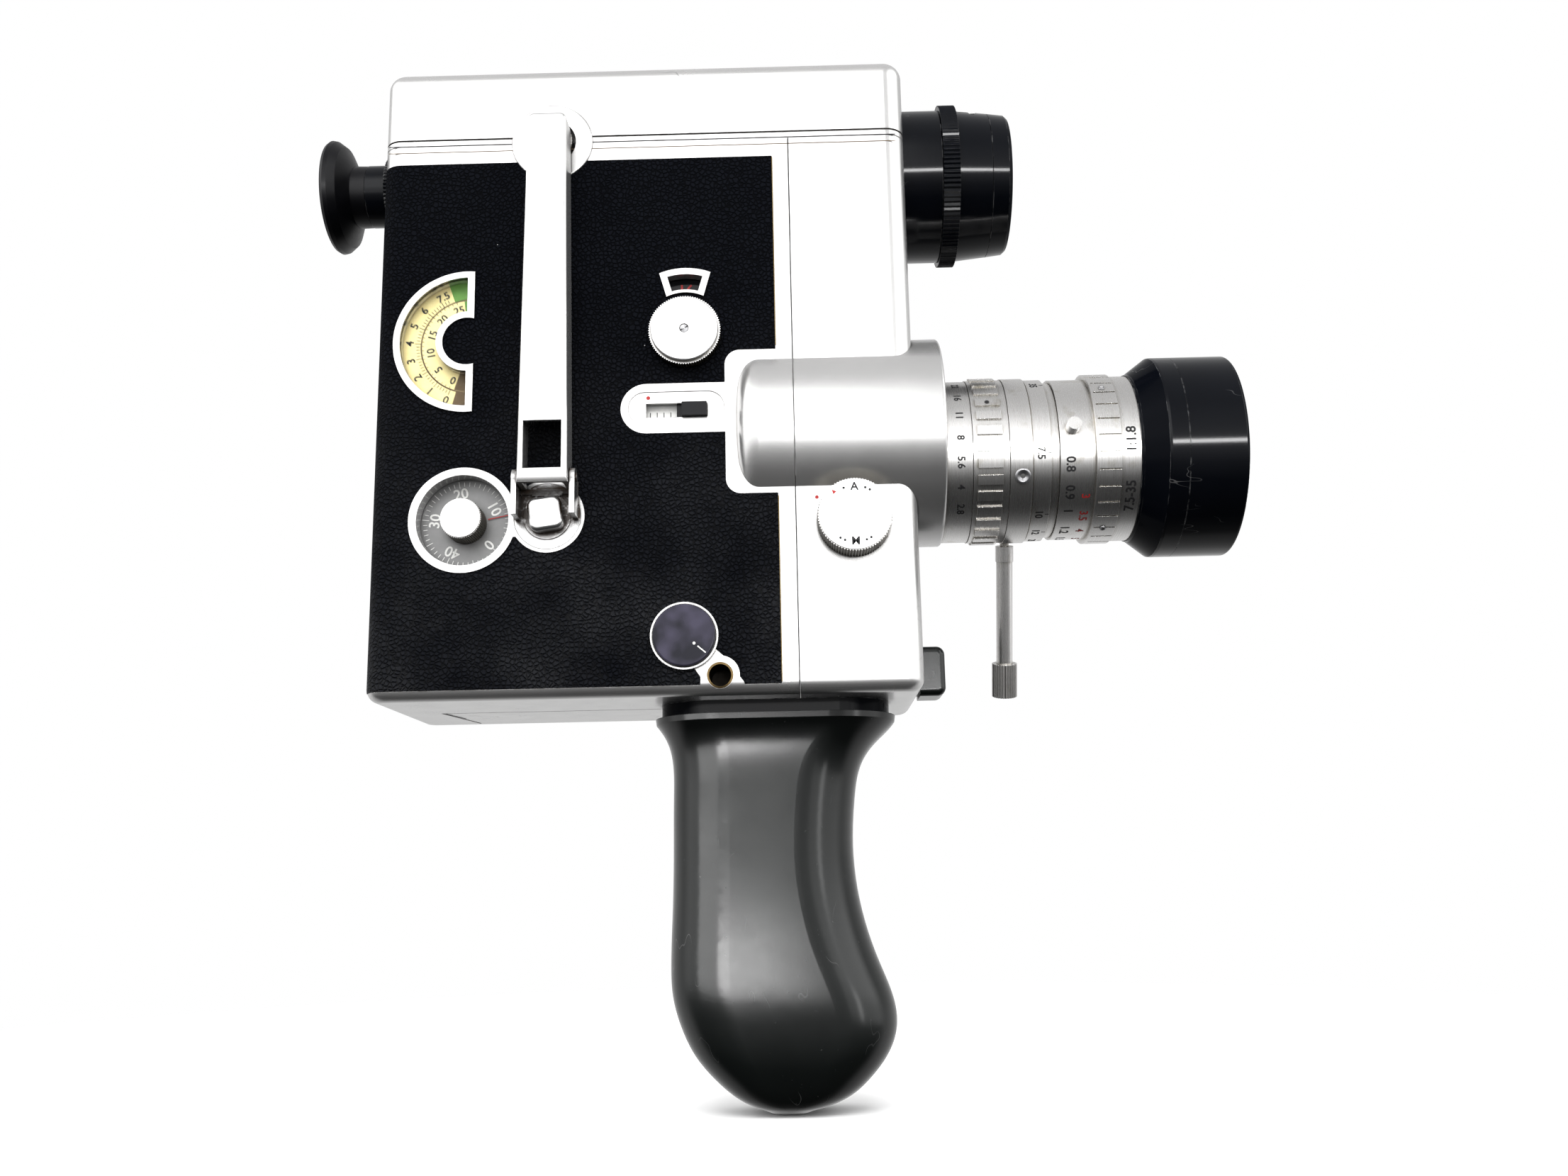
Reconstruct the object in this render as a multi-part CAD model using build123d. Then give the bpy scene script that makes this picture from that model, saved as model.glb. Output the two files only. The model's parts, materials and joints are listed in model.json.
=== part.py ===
from build123d import *
import math
import os

# Spring-driven 8 mm cine camera with a zoom lens, a meter barrel and a pistol grip.
# Millimetres. Origin: grip screw axis on the underside of the body. +X is the lens
# direction, +Z is up. The winding crank is on the right side, which faces -Y; the
# film door is on the left side, which faces +Y.

# ---- casing ----
BODY_REAR = -92.0
BODY_FRONT = 34.6
BODY_TOP = 156.0
HALF_WIDTH = 27.0
SIDE = -HALF_WIDTH            # plane of the right side
WALL = 2.4
CORNER = 4.5
TOP_EDGE = 4.0
BOTTOM_EDGE = 3.0
TOP_SEAM = 135.4
FRONT_SEAM = 6.4
SEAM_GAP = 0.15
INNER_SIDE = SIDE + WALL      # inner face of the right wall
PLATE_Y = (-12.5, -11.0)      # mechanism plate, between mechanism and film chamber

# ---- leather ----
LEATHER_FRONT = 2.4
LEATHER_Z = (2.2, 130.5)
LEATHER_DEPTH = 0.5
LEATHER_PROUD = 0.1

# ---- right side controls: X, Z of each centre ----
FOOTAGE = (-70.2, 84.9)
COUNTER = (-70.3, 41.5)
CRANK = (-50.7, 41.9)
WELL = (-50.7, 135.5)
SPEED = (-18.7, 85.4)
MODE = (19.7, 39.2)
LOCK = (-19.35, 13.3)
SOCKET = (-11.4, 4.3)
SOCKET_BUSH = 2.95
SOCKET_BORE = 2.5
SLIDE_Z = 67.3

# ---- optics ----
LENS_AXIS = (-7.0, 58.2)      # Y, Z
BOSS_AXIS = (-7.0, 63.2)
BOSS_RADIUS = 25.3
BOSS_REAR = -6.8
BOSS_FRONT = 41.5
METER_AXIS = (0.0, 134.8)
FINDER_AXIS = (0.0, 136.3)
RUN = 0.05                    # radial running clearance

# ---- lens stations along X ----
IRIS_X = (47.8, 56.2)
ZOOM_X = (56.3, 65.8)
ZOOM_SCALE_X = 61.7           # start of the focal length scale
LEVER_X = 57.6
FOCUS_X = (67.9, 76.1)
PEG_X = 70.9
GRIP_RING_X = (76.1, 81.9)
FRONT_CELL_X = 86.5
LENS_SEAT_X = 77.5
HOOD_SEAM_X = 96.6
HOOD_RIM_X = 110.2
JOURNAL = 17.0                # radius the rings turn on
RING_RADIUS = 20.0
HOOD_RADIUS = 24.2
HOOD_BORE = 22.4
RING_PADS = 32
LEVER_LEAN = 20.0             # degrees the zoom lever hangs away from the right side
METER_RING_X = (44.8, 48.9)
METER_RIM_X = 57.2

# ---- winding crank ----
PIN = (-31.5, 49.7)           # Y, Z of the pin the arm folds on
EAR_X = (6.0, 7.2)            # inner and outer face of each clevis ear
ARM_Y = (-35.2, -28.1)
ARM_END_Z = 139.0
ARM_HALF_WIDTH = (5.85, 4.6)  # at the hinge and at the tip
NUT_WIDTH = 7.8

# ---- speed window: ring sector about the speed knob ----
WINDOW_RADII = (11.1, 14.9)
WINDOW_HALF_ANGLE = 16.2
WINDOW_FRAME = 1.6

# ---- film door ----
HINGE = (-89.1, 24.1)         # X, Y of the vertical hinge
LATCH = (-8.0, 66.0)          # X, Z
HINGE_BARREL = 2.2
DOOR_INNER = 22.6
DOOR_FRONT = 2.0
DOOR_TOP = 132.8
FLAP_REACH = 78.0
SHELL_KNUCKLES = ((20.0, 39.0), (59.0, 77.0), (97.0, 116.0))

# ---- grip: z, rear x, front x, half thickness, from the flange down to the tip ----
GRIP_SECTIONS = ((-3.0, -28.4, 29.0, 17.8), (-4.4, -28.2, 28.8, 17.7), (-9.5, -25.2, 23.8, 16.0),
                 (-14.0, -24.3, 20.7, 15.6), (-22.0, -24.2, 18.8, 15.4), (-35.0, -24.3, 18.1, 15.4),
                 (-48.0, -24.6, 19.7, 15.6), (-60.0, -25.0, 23.4, 15.8), (-68.0, -24.4, 26.4, 15.8),
                 (-74.0, -22.6, 27.0, 15.4), (-80.0, -19.6, 25.0, 14.6), (-85.2, -15.2, 21.0, 13.0),
                 (-89.0, -10.8, 16.6, 11.0), (-91.6, -6.0, 10.8, 8.0), (-92.8, -2.6, 6.6, 5.2))
GRIP_BUSH = 3.1
TRIPOD_X = 2.0                # X of the tripod socket in the grip's tip
TRIPOD_RADIUS = 3.175

# ---- film transport ----
SPOOLS = ((-55.0, 100.0), (-55.0, 38.0))
SPOOL_RADIUS = 25.4
SPOOL_POST = 3.9

# ---- spring drive: gears ----
GEAR_MODULE = 0.56
BARREL_TEETH = 60
DRIVE_TEETH = 30
DRIVE_GEAR = (CRANK[0] + GEAR_MODULE * (BARREL_TEETH + DRIVE_TEETH) / 2, CRANK[1])

BASE = (Align.CENTER, Align.CENTER, Align.MIN)


# ---------------------------------------------------------------- helpers

def block(xs, ys, zs):
    size = (xs[1] - xs[0], ys[1] - ys[0], zs[1] - zs[0])
    middle = ((xs[0] + xs[1]) / 2, (ys[0] + ys[1]) / 2, (zs[0] + zs[1]) / 2)
    return Pos(*middle) * Box(*size)


def side_plane(centre, y):
    """Sketch plane seen from the right side: sketch x is X, sketch y is Z."""
    return Plane(origin=(centre[0], y, centre[1]), x_dir=(1, 0, 0), z_dir=(0, -1, 0))


def lens_plane(axis, x):
    """Sketch plane across a lens axis: sketch x is Y, sketch y is Z."""
    return Plane(origin=(x, axis[0], axis[1]), x_dir=(0, 1, 0), z_dir=(1, 0, 0))


def on_side(sketch, centre, outer, inner):
    """Extrude a side sketch from the Y position inner out to the Y position outer."""
    return extrude(side_plane(centre, inner) * sketch, inner - outer)


def rod_y(centre, radius, outer, inner):
    return on_side(Circle(radius), centre, outer, inner)


def tube_y(centre, radius, bore, outer, inner):
    return rod_y(centre, radius, outer, inner) - rod_y(centre, bore, outer - 1, inner + 1)


def rod_x(axis, radius, start, end):
    return extrude(lens_plane(axis, start) * Circle(radius), end - start)


def rod_z(x, y, radius, start, end):
    return Pos(x, y, start) * Cylinder(radius, end - start, align=BASE)


def turned(points, axis):
    """Turn an outline of (x, radius) points about a lens axis."""
    outline = make_face(Polyline(*points, close=True))
    return Pos(0, axis[0], axis[1]) * revolve(outline, Axis.X)


def stepped_tube(steps, bore, axis):
    """Tube of one bore with steps (x start, x end, outer radius), front to back in order."""
    points = [(steps[0][0], bore)]
    for start, end, radius in steps:
        if points[-1] != (start, radius):
            points.append((start, radius))
        points.append((end, radius))
    points.append((steps[-1][1], bore))
    return turned(points, axis)


def serrated(radius, depth, count):
    """Round outline with V grooves, for knurled edges."""
    step = 2 * math.pi / count
    points = []
    for i in range(count):
        crest = i * step
        root = crest + step / 2
        points.append((radius * math.cos(crest), radius * math.sin(crest)))
        points.append(((radius - depth) * math.cos(root), (radius - depth) * math.sin(root)))
    return make_face(Polyline(*points, close=True))


def involute_gear(teeth, phase):
    """Involute gear outline, 20 degree pressure angle, with a little backlash."""
    pressure = math.radians(20)
    pitch = GEAR_MODULE * teeth / 2
    base = pitch * math.cos(pressure)
    tip = pitch + 0.85 * GEAR_MODULE
    root = pitch - 1.1 * GEAR_MODULE
    backlash = 0.10
    half_tooth = math.pi / (2 * teeth) - backlash / (2 * pitch)
    involute_at_pitch = math.tan(pressure) - pressure
    flank_steps = 4
    start = max(base, root + 0.05)
    flank = []
    for i in range(flank_steps + 1):
        radius = start + (tip - start) * i / flank_steps
        angle = math.acos(min(1.0, base / radius))
        flank.append((radius, half_tooth + involute_at_pitch - (math.tan(angle) - angle)))
    points = []
    for tooth in range(teeth):
        centre = phase + 2 * math.pi * tooth / teeth
        left = [(root, flank[0][1])] + flank
        for radius, offset in left:
            points.append((radius * math.cos(centre - offset), radius * math.sin(centre - offset)))
        for radius, offset in reversed(left):
            points.append((radius * math.cos(centre + offset), radius * math.sin(centre + offset)))
    return make_face(Polyline(*points, close=True))


# ---------------------------------------------------------------- casing

def envelope(inset=0.0):
    """Rounded outer block of the casing, or the same block shrunk by inset."""
    shape = block((BODY_REAR + inset, BODY_FRONT - inset),
                  (-HALF_WIDTH + inset, HALF_WIDTH - inset),
                  (inset, BODY_TOP - inset))
    shape = fillet(shape.edges().filter_by(Axis.Z), CORNER - inset)
    shape = fillet(shape.faces().sort_by(Axis.Z)[-1].edges(), TOP_EDGE - inset)
    return fillet(shape.faces().sort_by(Axis.Z)[0].edges(), BOTTOM_EDGE - inset)


def lens_boss():
    """Round boss that carries the lens and bulges out of the right side."""
    boss = rod_x(BOSS_AXIS, BOSS_RADIUS, BOSS_REAR, BOSS_FRONT)
    boss = fillet(boss.edges().sort_by(Axis.X)[0], 5.0)
    return fillet(boss.edges().sort_by(Axis.X)[-1], 0.8)


def pill(left, right, half_height):
    """Flat outline with a round left end, for the slide switch frame."""
    straight = Pos((left + half_height + right) / 2, SLIDE_Z) * \
        Rectangle(right - left - half_height, 2 * half_height)
    return straight + Pos(left + half_height, SLIDE_Z) * Circle(half_height)


def half_ring(outer, inner, flat):
    """C-shaped outline: the left part of a ring, cut off at x = flat."""
    keep = Pos(flat - outer, 0) * Rectangle(2 * outer, 3 * outer)
    return (Circle(outer) - Circle(inner)) & keep


def counter_frame(inset):
    """Frame round the frame counter and the crank, joined by a waist."""
    reach = CRANK[0] - COUNTER[0]
    waist = Pos(reach / 2, 0.2) * Rectangle(reach, 9.0)
    return Circle(12.5 - inset) + waist + Pos(reach, CRANK[1] - COUNTER[1]) * Circle(8.6 - inset)


def window_outline(grow):
    """Ring sector of the speed window about the knob, with a frame of width grow added."""
    slope = math.radians(WINDOW_HALF_ANGLE)
    apex = -grow / math.sin(slope)
    reach = 20.0
    half = (reach - apex) * math.tan(slope)
    wedge = make_face(Polyline((0, apex), (half, reach), (-half, reach), close=True))
    band = Circle(WINDOW_RADII[1] + grow) - Circle(WINDOW_RADII[0] - grow / 2)
    return band & wedge


def socket_fairing():
    """Bare metal round the release socket, joined to the lock ring and the bottom border."""
    x, z = SOCKET
    reach = math.hypot(LOCK[0] - x, LOCK[1] - z)
    across = ((LOCK[1] - z) / reach, (x - LOCK[0]) / reach)
    neck = make_face(Polyline((x - 3.8 * across[0], z - 3.8 * across[1]),
                              (x + 3.8 * across[0], z + 3.8 * across[1]),
                              (LOCK[0] + 2.6 * across[0], LOCK[1] + 2.6 * across[1]),
                              (LOCK[0] - 2.6 * across[0], LOCK[1] - 2.6 * across[1]), close=True))
    foot = make_face(Polyline((x - 4.9, -1), (x + 6.4, -1), (x + 5.4, 2.7), (x + 4.3, 4.2),
                              (x - 4.3, 4.2), (x - 4.5, 2.7), close=True))
    return neck + foot + Pos(x, z) * Circle(4.5)


def leather_openings():
    """Everything on the right side that the leather is cut away around."""
    depth = (SIDE - 1, SIDE + 1)
    cuts = on_side(half_ring(17.5, 5.8, 1.6), FOOTAGE, *depth)
    cuts += on_side(counter_frame(0), COUNTER, *depth)
    cuts += rod_y(WELL, 9.8, *depth)
    cuts += rod_y(SPEED, 8.2, *depth)
    cuts += on_side(window_outline(WINDOW_FRAME), SPEED, *depth)
    cuts += on_side(pill(-34.0, -8.0, 6.1), (0, 0), *depth)
    boss_window = Pos(-1.6, 63.8) * RectangleRounded(16.0, 35.0, 3.6)
    cuts += on_side(boss_window, (0, 0), *depth)
    cuts += rod_y(LOCK, 7.73, *depth)
    return cuts + on_side(socket_fairing(), (0, 0), *depth)


def side_leatherette():
    skin = envelope(-LEATHER_PROUD) - envelope(LEATHER_DEPTH)
    skin &= block((BODY_REAR - 1, LEATHER_FRONT), (SIDE - 1, 20.5), LEATHER_Z)
    skin -= rod_x(FINDER_AXIS, 10.2, BODY_REAR - 1, BODY_REAR + 2)
    return skin - leather_openings()


def flap_outline():
    """Plan of the door flap under the body, limited by its own swing about the hinge."""
    corners = make_face(Polyline((-80.3, -1.3), (0, -1.3), (0, DOOR_INNER + 1.5),
                                 (-75.8, DOOR_INNER + 1.5), close=True))
    return corners & (Pos(*HINGE) * Circle(FLAP_REACH))


def knob_well_hole():
    return rod_y(WELL, 9.8, SIDE - 1, SIDE + 0.3) + rod_y(WELL, 6.5, SIDE - 1, -18.4)


def eyepiece_hole():
    return rod_x(FINDER_AXIS, 7.05, BODY_REAR - 1, -86.0)


def meter_hole():
    return rod_x(METER_AXIS, 15.0, 24.0, BODY_FRONT + 1)


def side_holes():
    """Openings in the right wall of the main shell."""
    through = (SIDE - 1, INNER_SIDE + 1)
    cuts = on_side(half_ring(17.5, 5.8, 1.6), FOOTAGE, *through)
    cuts += on_side(counter_frame(0), COUNTER, SIDE - 1, SIDE + 0.5)
    cuts += rod_y(COUNTER, 11.4, *through)
    cuts += rod_y(CRANK, 2.6 + RUN, *through)
    cuts += rod_y(SPEED, 2.0 + RUN, *through)
    cuts += on_side(window_outline(WINDOW_FRAME), SPEED, *through)
    cuts += on_side(Pos(-20.95, SLIDE_Z) * RectangleRounded(22.5, 8.0, 3.9), (0, 0),
                    SIDE - 1, SIDE + 0.2)
    cuts += on_side(Pos(-20.85, SLIDE_Z - 0.5) * Rectangle(14.3, 3.4), (0, 0), *through)
    cuts += on_side(Pos(-20.95, SLIDE_Z - 0.5) * Rectangle(18.5, 6.0), (0, 0),
                    SIDE + 1.1, INNER_SIDE + 1)
    cuts += rod_y(LOCK, 2.0 + RUN, *through)
    cuts += rod_y(LOCK, 7.25, SIDE - 2, SIDE + 0.2)
    return cuts + rod_y(SOCKET, SOCKET_BUSH, SIDE - 1, -15.0)


def shell_knuckles():
    pieces = []
    for bottom, top in SHELL_KNUCKLES:
        barrel = rod_z(HINGE[0], HINGE[1], HINGE_BARREL, bottom, top)
        web = block((-91.0, -87.2), (20.0, 23.2), (bottom, top))
        pieces.append((barrel + web) - rod_z(HINGE[0], HINGE[1], 1.0, bottom - 1, top + 1))
    return pieces


def main_shell():
    top = TOP_SEAM - SEAM_GAP / 2
    shell = (envelope() + lens_boss()) & block((BODY_REAR - 1, FRONT_SEAM), (-40, 40), (-1, top))
    shell -= block((BODY_REAR + WALL, 4.0), (INNER_SIDE, 40), (WALL, top - WALL))
    shell -= block((BODY_REAR - 1, DOOR_FRONT + 0.25), (DOOR_INNER - 0.2, 40), (-1, DOOR_TOP + 0.2))
    flap_gap = offset(flap_outline(), 0.15, kind=Kind.INTERSECTION)
    shell -= Pos(0, 0, -1) * extrude(flap_gap, WALL + 2)
    shell -= rod_z(HINGE[0], HINGE[1], 2.45, -1, DOOR_TOP + 0.2)
    for knuckle in shell_knuckles():
        shell += knuckle
    shell += tube_y(LOCK, 7.73, 7.25, SIDE - 1.0, SIDE + 0.2)
    shell += rod_z(0, 0, 5.5, 1.0, 12.0)
    shell -= rod_z(0, 0, GRIP_BUSH, -1, 13.0)
    shell -= rod_x(LENS_AXIS, 8.0, 3.0, 7.0)
    shell -= rod_x((6.0, LENS_AXIS[1]), 1.5 + RUN, 3.0, 7.0)
    shell -= side_holes()
    shell -= knob_well_hole()
    shell -= eyepiece_hole()
    return shell - side_leatherette()


def front_housing():
    top = TOP_SEAM - SEAM_GAP / 2
    part = (envelope() + lens_boss())
    part &= block((FRONT_SEAM + SEAM_GAP, 60), (-40, 40), (-1, top))
    part -= block((0, BODY_FRONT - WALL), (INNER_SIDE, -INNER_SIDE), (WALL, 140))
    part -= rod_x(BOSS_AXIS, 21.5, 0, 39.0)
    part -= rod_x(LENS_AXIS, 16.0, 30.0, 50.0)
    part -= meter_hole()
    part -= rod_y(MODE, 2.0 + RUN, SIDE - 1, INNER_SIDE + 1)
    return part - block((28.0, 40.0), (-6.15, 6.15), (1.15, 13.35))


def top_housing():
    bottom = TOP_SEAM + SEAM_GAP / 2
    part = envelope() & block((BODY_REAR - 1, 60), (-40, 40), (bottom, BODY_TOP + 1))
    inner = block((BODY_REAR + WALL, BODY_FRONT - WALL), (INNER_SIDE, -INNER_SIDE),
                  (bottom - 1, BODY_TOP - WALL))
    part -= fillet(inner.edges().filter_by(Axis.Z), 2.0)
    groove = (envelope(-1.0) - envelope(0.35)) & block((BODY_REAR - 2, 60), (-40, 40), (136.7, 137.1))
    return part - groove - knob_well_hole() - eyepiece_hole() - meter_hole()


# ---------------------------------------------------------------- counters and crank

def footage_bezel():
    frame = half_ring(17.5, 5.8, 1.6) - half_ring(15.9, 7.4, -0.1)
    return on_side(frame, FOOTAGE, SIDE - 0.6, INNER_SIDE)


def footage_window():
    return on_side(half_ring(15.9, 7.4, -0.1), FOOTAGE, SIDE - 0.1, SIDE + 0.7)


def footage_disc():
    disc = rod_y(FOOTAGE, 16.6, INNER_SIDE + 0.3, INNER_SIDE + 1.1)
    disc += tube_y(FOOTAGE, 16.6, 11.5, INNER_SIDE + 0.3, INNER_SIDE + 1.5)
    return disc + rod_y(FOOTAGE, 1.2, INNER_SIDE + 1.0, PLATE_Y[1])


def counter_bezel():
    plate = on_side(counter_frame(0), COUNTER, SIDE - 0.3, SIDE + 0.5)
    plate += rod_y(COUNTER, 11.4, SIDE - 0.3, -23.2)
    plate -= rod_y(COUNTER, 10.66, SIDE - 1, -20.0)
    return plate - rod_y(CRANK, 7.75, SIDE - 1, SIDE + 1)


def counter_dial():
    return rod_y(COUNTER, 11.3, -23.0, -22.2) + rod_y(COUNTER, 1.5, -22.3, PLATE_Y[1])


def counter_knob():
    grip = on_side(serrated(4.8, 0.22, 60), COUNTER, -28.9, -23.0)
    return grip + rod_y(COUNTER, 4.55, -29.3, -28.9)


def winding_shaft():
    return rod_y(CRANK, 2.6, SIDE - 0.5, PLATE_Y[1]) + rod_y(CRANK, 1.8, -30.2, SIDE - 0.5)


def crank_nut():
    cap = on_side(RectangleRounded(NUT_WIDTH, NUT_WIDTH, 2.0, rotation=8), CRANK, -30.9, SIDE - 0.5)
    cap = fillet(cap.faces().sort_by(Axis.Y)[0].edges(), 0.9)
    return cap - rod_y(CRANK, 1.8, -30.2, SIDE)


def crank_clevis():
    """Disc, two ears and the riveted pin the arm folds on."""
    body = rod_y(CRANK, 7.7, SIDE - 0.25, SIDE + 0.4)
    body += rod_y(CRANK, 5.5, SIDE - 0.5, SIDE - 0.2)
    body += block((CRANK[0] - 6.6, CRANK[0] + 6.6), (-27.75, -27.45), (47.0, 48.2))
    body += block((CRANK[0] - 3.5, CRANK[0] + 3.5), (-27.75, SIDE - 0.1), (46.6, 47.6))
    for side in (-1, 1):
        inner = CRANK[0] + side * EAR_X[0]
        outer = CRANK[0] + side * EAR_X[1]
        xs = (min(inner, outer), max(inner, outer))
        ear = block(xs, (-33.6, -27.45), (41.0, PIN[1]))
        lobe = Plane(origin=(xs[0], PIN[0], PIN[1]), z_dir=(1, 0, 0)) * \
            Cylinder(2.2, EAR_X[1] - EAR_X[0], align=BASE)
        foot = block(xs, (-27.5, SIDE + 0.3), (41.0, 43.6))
        body += ear + lobe + (foot & rod_y(CRANK, 7.65, -30, SIDE + 0.4))
    body -= rod_y(CRANK, 2.6, -30, -20)
    return body + rod_x(PIN, 1.0, CRANK[0] - 7.5, CRANK[0] + 7.5)


def arm_outline(inset):
    """Tapered arm, widest at the hinge, in side view."""
    bottom = ARM_HALF_WIDTH[0] - inset
    top = ARM_HALF_WIDTH[1] - inset
    return make_face(Polyline((-bottom, 48.0), (bottom, 48.0), (top, ARM_END_Z - inset),
                              (-top, ARM_END_Z - inset), close=True))


def crank_arm():
    where = (CRANK[0], 0)
    arm = on_side(arm_outline(0), where, ARM_Y[0], ARM_Y[1])
    arm = fillet(arm.edges().filter_by(Axis.Y).sort_by(Axis.Z)[-2:], 1.5)
    front = arm.faces().sort_by(Axis.Y)[0]
    arm = fillet(front.edges().sort_by(Axis.Z)[1:], 0.7)
    arm -= on_side(arm_outline(1.2), where, ARM_Y[0] + 1.2, ARM_Y[1] + 1)
    heel = Plane(origin=(CRANK[0] - 8, PIN[0], PIN[1]), z_dir=(1, 0, 0)) * Cylinder(3.7, 16, align=BASE)
    arm -= block((CRANK[0] - 8, CRANK[0] + 8), (PIN[0], -20), (40, 53.2)) - heel
    arm -= block((CRANK[0] - 8, CRANK[0] + 8), (-40, PIN[0]), (40, PIN[1])) - heel
    arm -= block((CRANK[0] - 4.35, CRANK[0] + 4.35), (-36, -33.5), (51.2, 62.4))
    arm -= rod_x(PIN, 1.0 + RUN, CRANK[0] - 8, CRANK[0] + 8)
    return arm - rod_y(WELL, 1.2, ARM_Y[0] + 0.35, -30)


def crank_knob():
    stem = rod_y(WELL, 1.15, ARM_Y[0] + 0.45, -30)
    shaft = rod_y(WELL, 2.2, -33.9, -27.8)
    grip = on_side(serrated(5.0, 0.2, 40), WELL, -27.9, -22.0)
    return stem + shaft + grip


def knob_well():
    cup = rod_y(WELL, 9.8, SIDE - 0.4, SIDE + 0.3) + rod_y(WELL, 6.5, SIDE, -18.6)
    cup = fillet(cup.edges().sort_by(Axis.Y)[0], 0.3)
    return cup - rod_y(WELL, 5.75, SIDE - 1, -19.4)


# ---------------------------------------------------------------- speed, mode, lock, slide, release

def speed_knob():
    skirt = on_side(serrated(8.5, 0.3, 90), SPEED, SIDE - 2.8, SIDE - 0.3)
    cap = rod_y(SPEED, 7.87, SIDE - 4.0, SIDE - 2.8)
    cap = fillet(cap.edges().sort_by(Axis.Y)[0], 0.4)
    cap -= rod_y(SPEED, 1.1, SIDE - 5, SIDE - 3.6)
    return skirt + cap + rod_y(SPEED, 2.0, SIDE - 1, -22.6)


def speed_bezel():
    frame = on_side(window_outline(WINDOW_FRAME), SPEED, SIDE - 0.5, INNER_SIDE - 0.1)
    return frame - on_side(window_outline(0), SPEED, SIDE - 1, INNER_SIDE + 1)


def speed_disc():
    return tube_y(SPEED, 15.9, 2.0, INNER_SIDE + 0.2, INNER_SIDE + 1.0)


def slide_tab():
    tab = on_side(Pos(-16.7, SLIDE_Z - 0.5) * Rectangle(5.8, 3.2), (0, 0), SIDE - 1.2, SIDE + 1.3)
    keeper = on_side(Pos(-16.9, SLIDE_Z - 0.5) * Rectangle(8.0, 5.6), (0, 0), SIDE + 1.2, SIDE + 2.0)
    return tab + keeper


def mode_knob():
    skirt = on_side(serrated(8.5, 0.3, 80), MODE, SIDE - 6.2, SIDE - 0.3)
    cap = rod_y(MODE, 8.15, SIDE - 6.6, SIDE - 6.2)
    return skirt + cap + rod_y(MODE, 2.0, SIDE - 1, INNER_SIDE + 1.5)


def lock_knob():
    disc = rod_y(LOCK, 7.15, SIDE - 1.9, SIDE + 0.1)
    disc = fillet(disc.edges().sort_by(Axis.Y)[0], 0.5)
    return disc + rod_y(LOCK, 2.0, SIDE, INNER_SIDE + 1.5)


def release_socket():
    bush = rod_y(SOCKET, SOCKET_BUSH, SIDE, -15.0) & envelope()
    return bush - rod_y(SOCKET, SOCKET_BORE, SIDE - 1, -17.0)


def release_button():
    head = block((BODY_FRONT + 0.4, 41.2), (-6.0, 6.0), (1.3, 13.2))
    head = fillet(head.edges().filter_by(Axis.Y).sort_by(Axis.X)[-2:], 2.0)
    head = fillet(head.edges().filter_by(Axis.Z).sort_by(Axis.X)[-2:], 1.5)
    guide = block((28.4, BODY_FRONT + 0.4), (-6.0, 6.0), (2.5, 13.2))
    return head + guide


# ---------------------------------------------------------------- lens

def lens_barrel():
    steps = ((26.0, BOSS_FRONT, 15.9), (BOSS_FRONT, IRIS_X[0] - 0.1, 19.6),
             (IRIS_X[0] - 0.1, ZOOM_X[1] + 0.1, JOURNAL), (ZOOM_X[1] + 0.1, FOCUS_X[0] - 0.1, 18.8),
             (FOCUS_X[0] - 0.1, FOCUS_X[1] - 0.9, JOURNAL))
    return stepped_tube(steps, 14.6, LENS_AXIS)


def radial_slots(start, end, width, depth):
    """Grooves along the lens, evenly spaced round a ring, for cutting it into pads."""
    slots = []
    for i in range(RING_PADS):
        place = Pos((start + end) / 2, LENS_AXIS[0], LENS_AXIS[1]) * Rot(360 / RING_PADS * i, 0, 0)
        slots.append(place * Pos(0, 0, RING_RADIUS + 1.0) * Box(end - start, width, 2 * depth))
    return slots


def iris_ring():
    ring = stepped_tube(((IRIS_X[0], IRIS_X[1], RING_RADIUS - 0.2),), JOURNAL + RUN, LENS_AXIS)
    pads = rod_x(LENS_AXIS, RING_RADIUS + 0.25, IRIS_X[0] + 1.0, IRIS_X[1] - 1.6)
    pads -= rod_x(LENS_AXIS, RING_RADIUS - 0.3, IRIS_X[0], IRIS_X[1])
    return ring + (pads - radial_slots(IRIS_X[0], IRIS_X[1], 1.65, 1.5))


def iris_diaphragm():
    opening = RegularPolygon(6.0, 6)
    disc = extrude(lens_plane(LENS_AXIS, 37.0) * (Circle(14.5) - opening), 1.2)
    return disc


def lever_place():
    """Lever frame: origin on the lens axis, Z pointing away from the lever's tip."""
    return Pos(LEVER_X, LENS_AXIS[0], LENS_AXIS[1]) * Rot(LEVER_LEAN, 0, 0)


def lever_part(radius, near, far):
    return lever_place() * Pos(0, 0, -far) * Cylinder(radius, far - near, align=BASE)


def zoom_ring():
    steps = ((ZOOM_X[0], ZOOM_SCALE_X - 0.3, RING_RADIUS),
             (ZOOM_SCALE_X - 0.3, ZOOM_SCALE_X, RING_RADIUS - 0.6),
             (ZOOM_SCALE_X, ZOOM_X[1], RING_RADIUS - 0.4))
    return stepped_tube(steps, JOURNAL + RUN, LENS_AXIS) - lever_part(1.1, JOURNAL + 1.2, 22.0)


def zoom_lever():
    root = lever_part(1.1, JOURNAL + 1.2, 21.5)
    collar = lever_part(2.2, 20.8, 24.6)
    shaft = lever_part(2.0, 24.5, 51.0)
    tip = lever_place() * Pos(0, 0, -58.7) * extrude(serrated(3.1, 0.25, 28), 8.4)
    return root + collar + shaft + tip


def zoom_group():
    return turned(((46.0, 0), (47.5, 8), (46.0, 13), (46.0, 14.5), (58.0, 14.5), (58.0, 13.0),
                   (56.0, 13.0), (57.4, 0)), LENS_AXIS)


def rear_lens():
    return turned(((28.0, 0), (29.2, 14.6), (32.5, 14.6), (33.6, 0)), LENS_AXIS)


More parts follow.
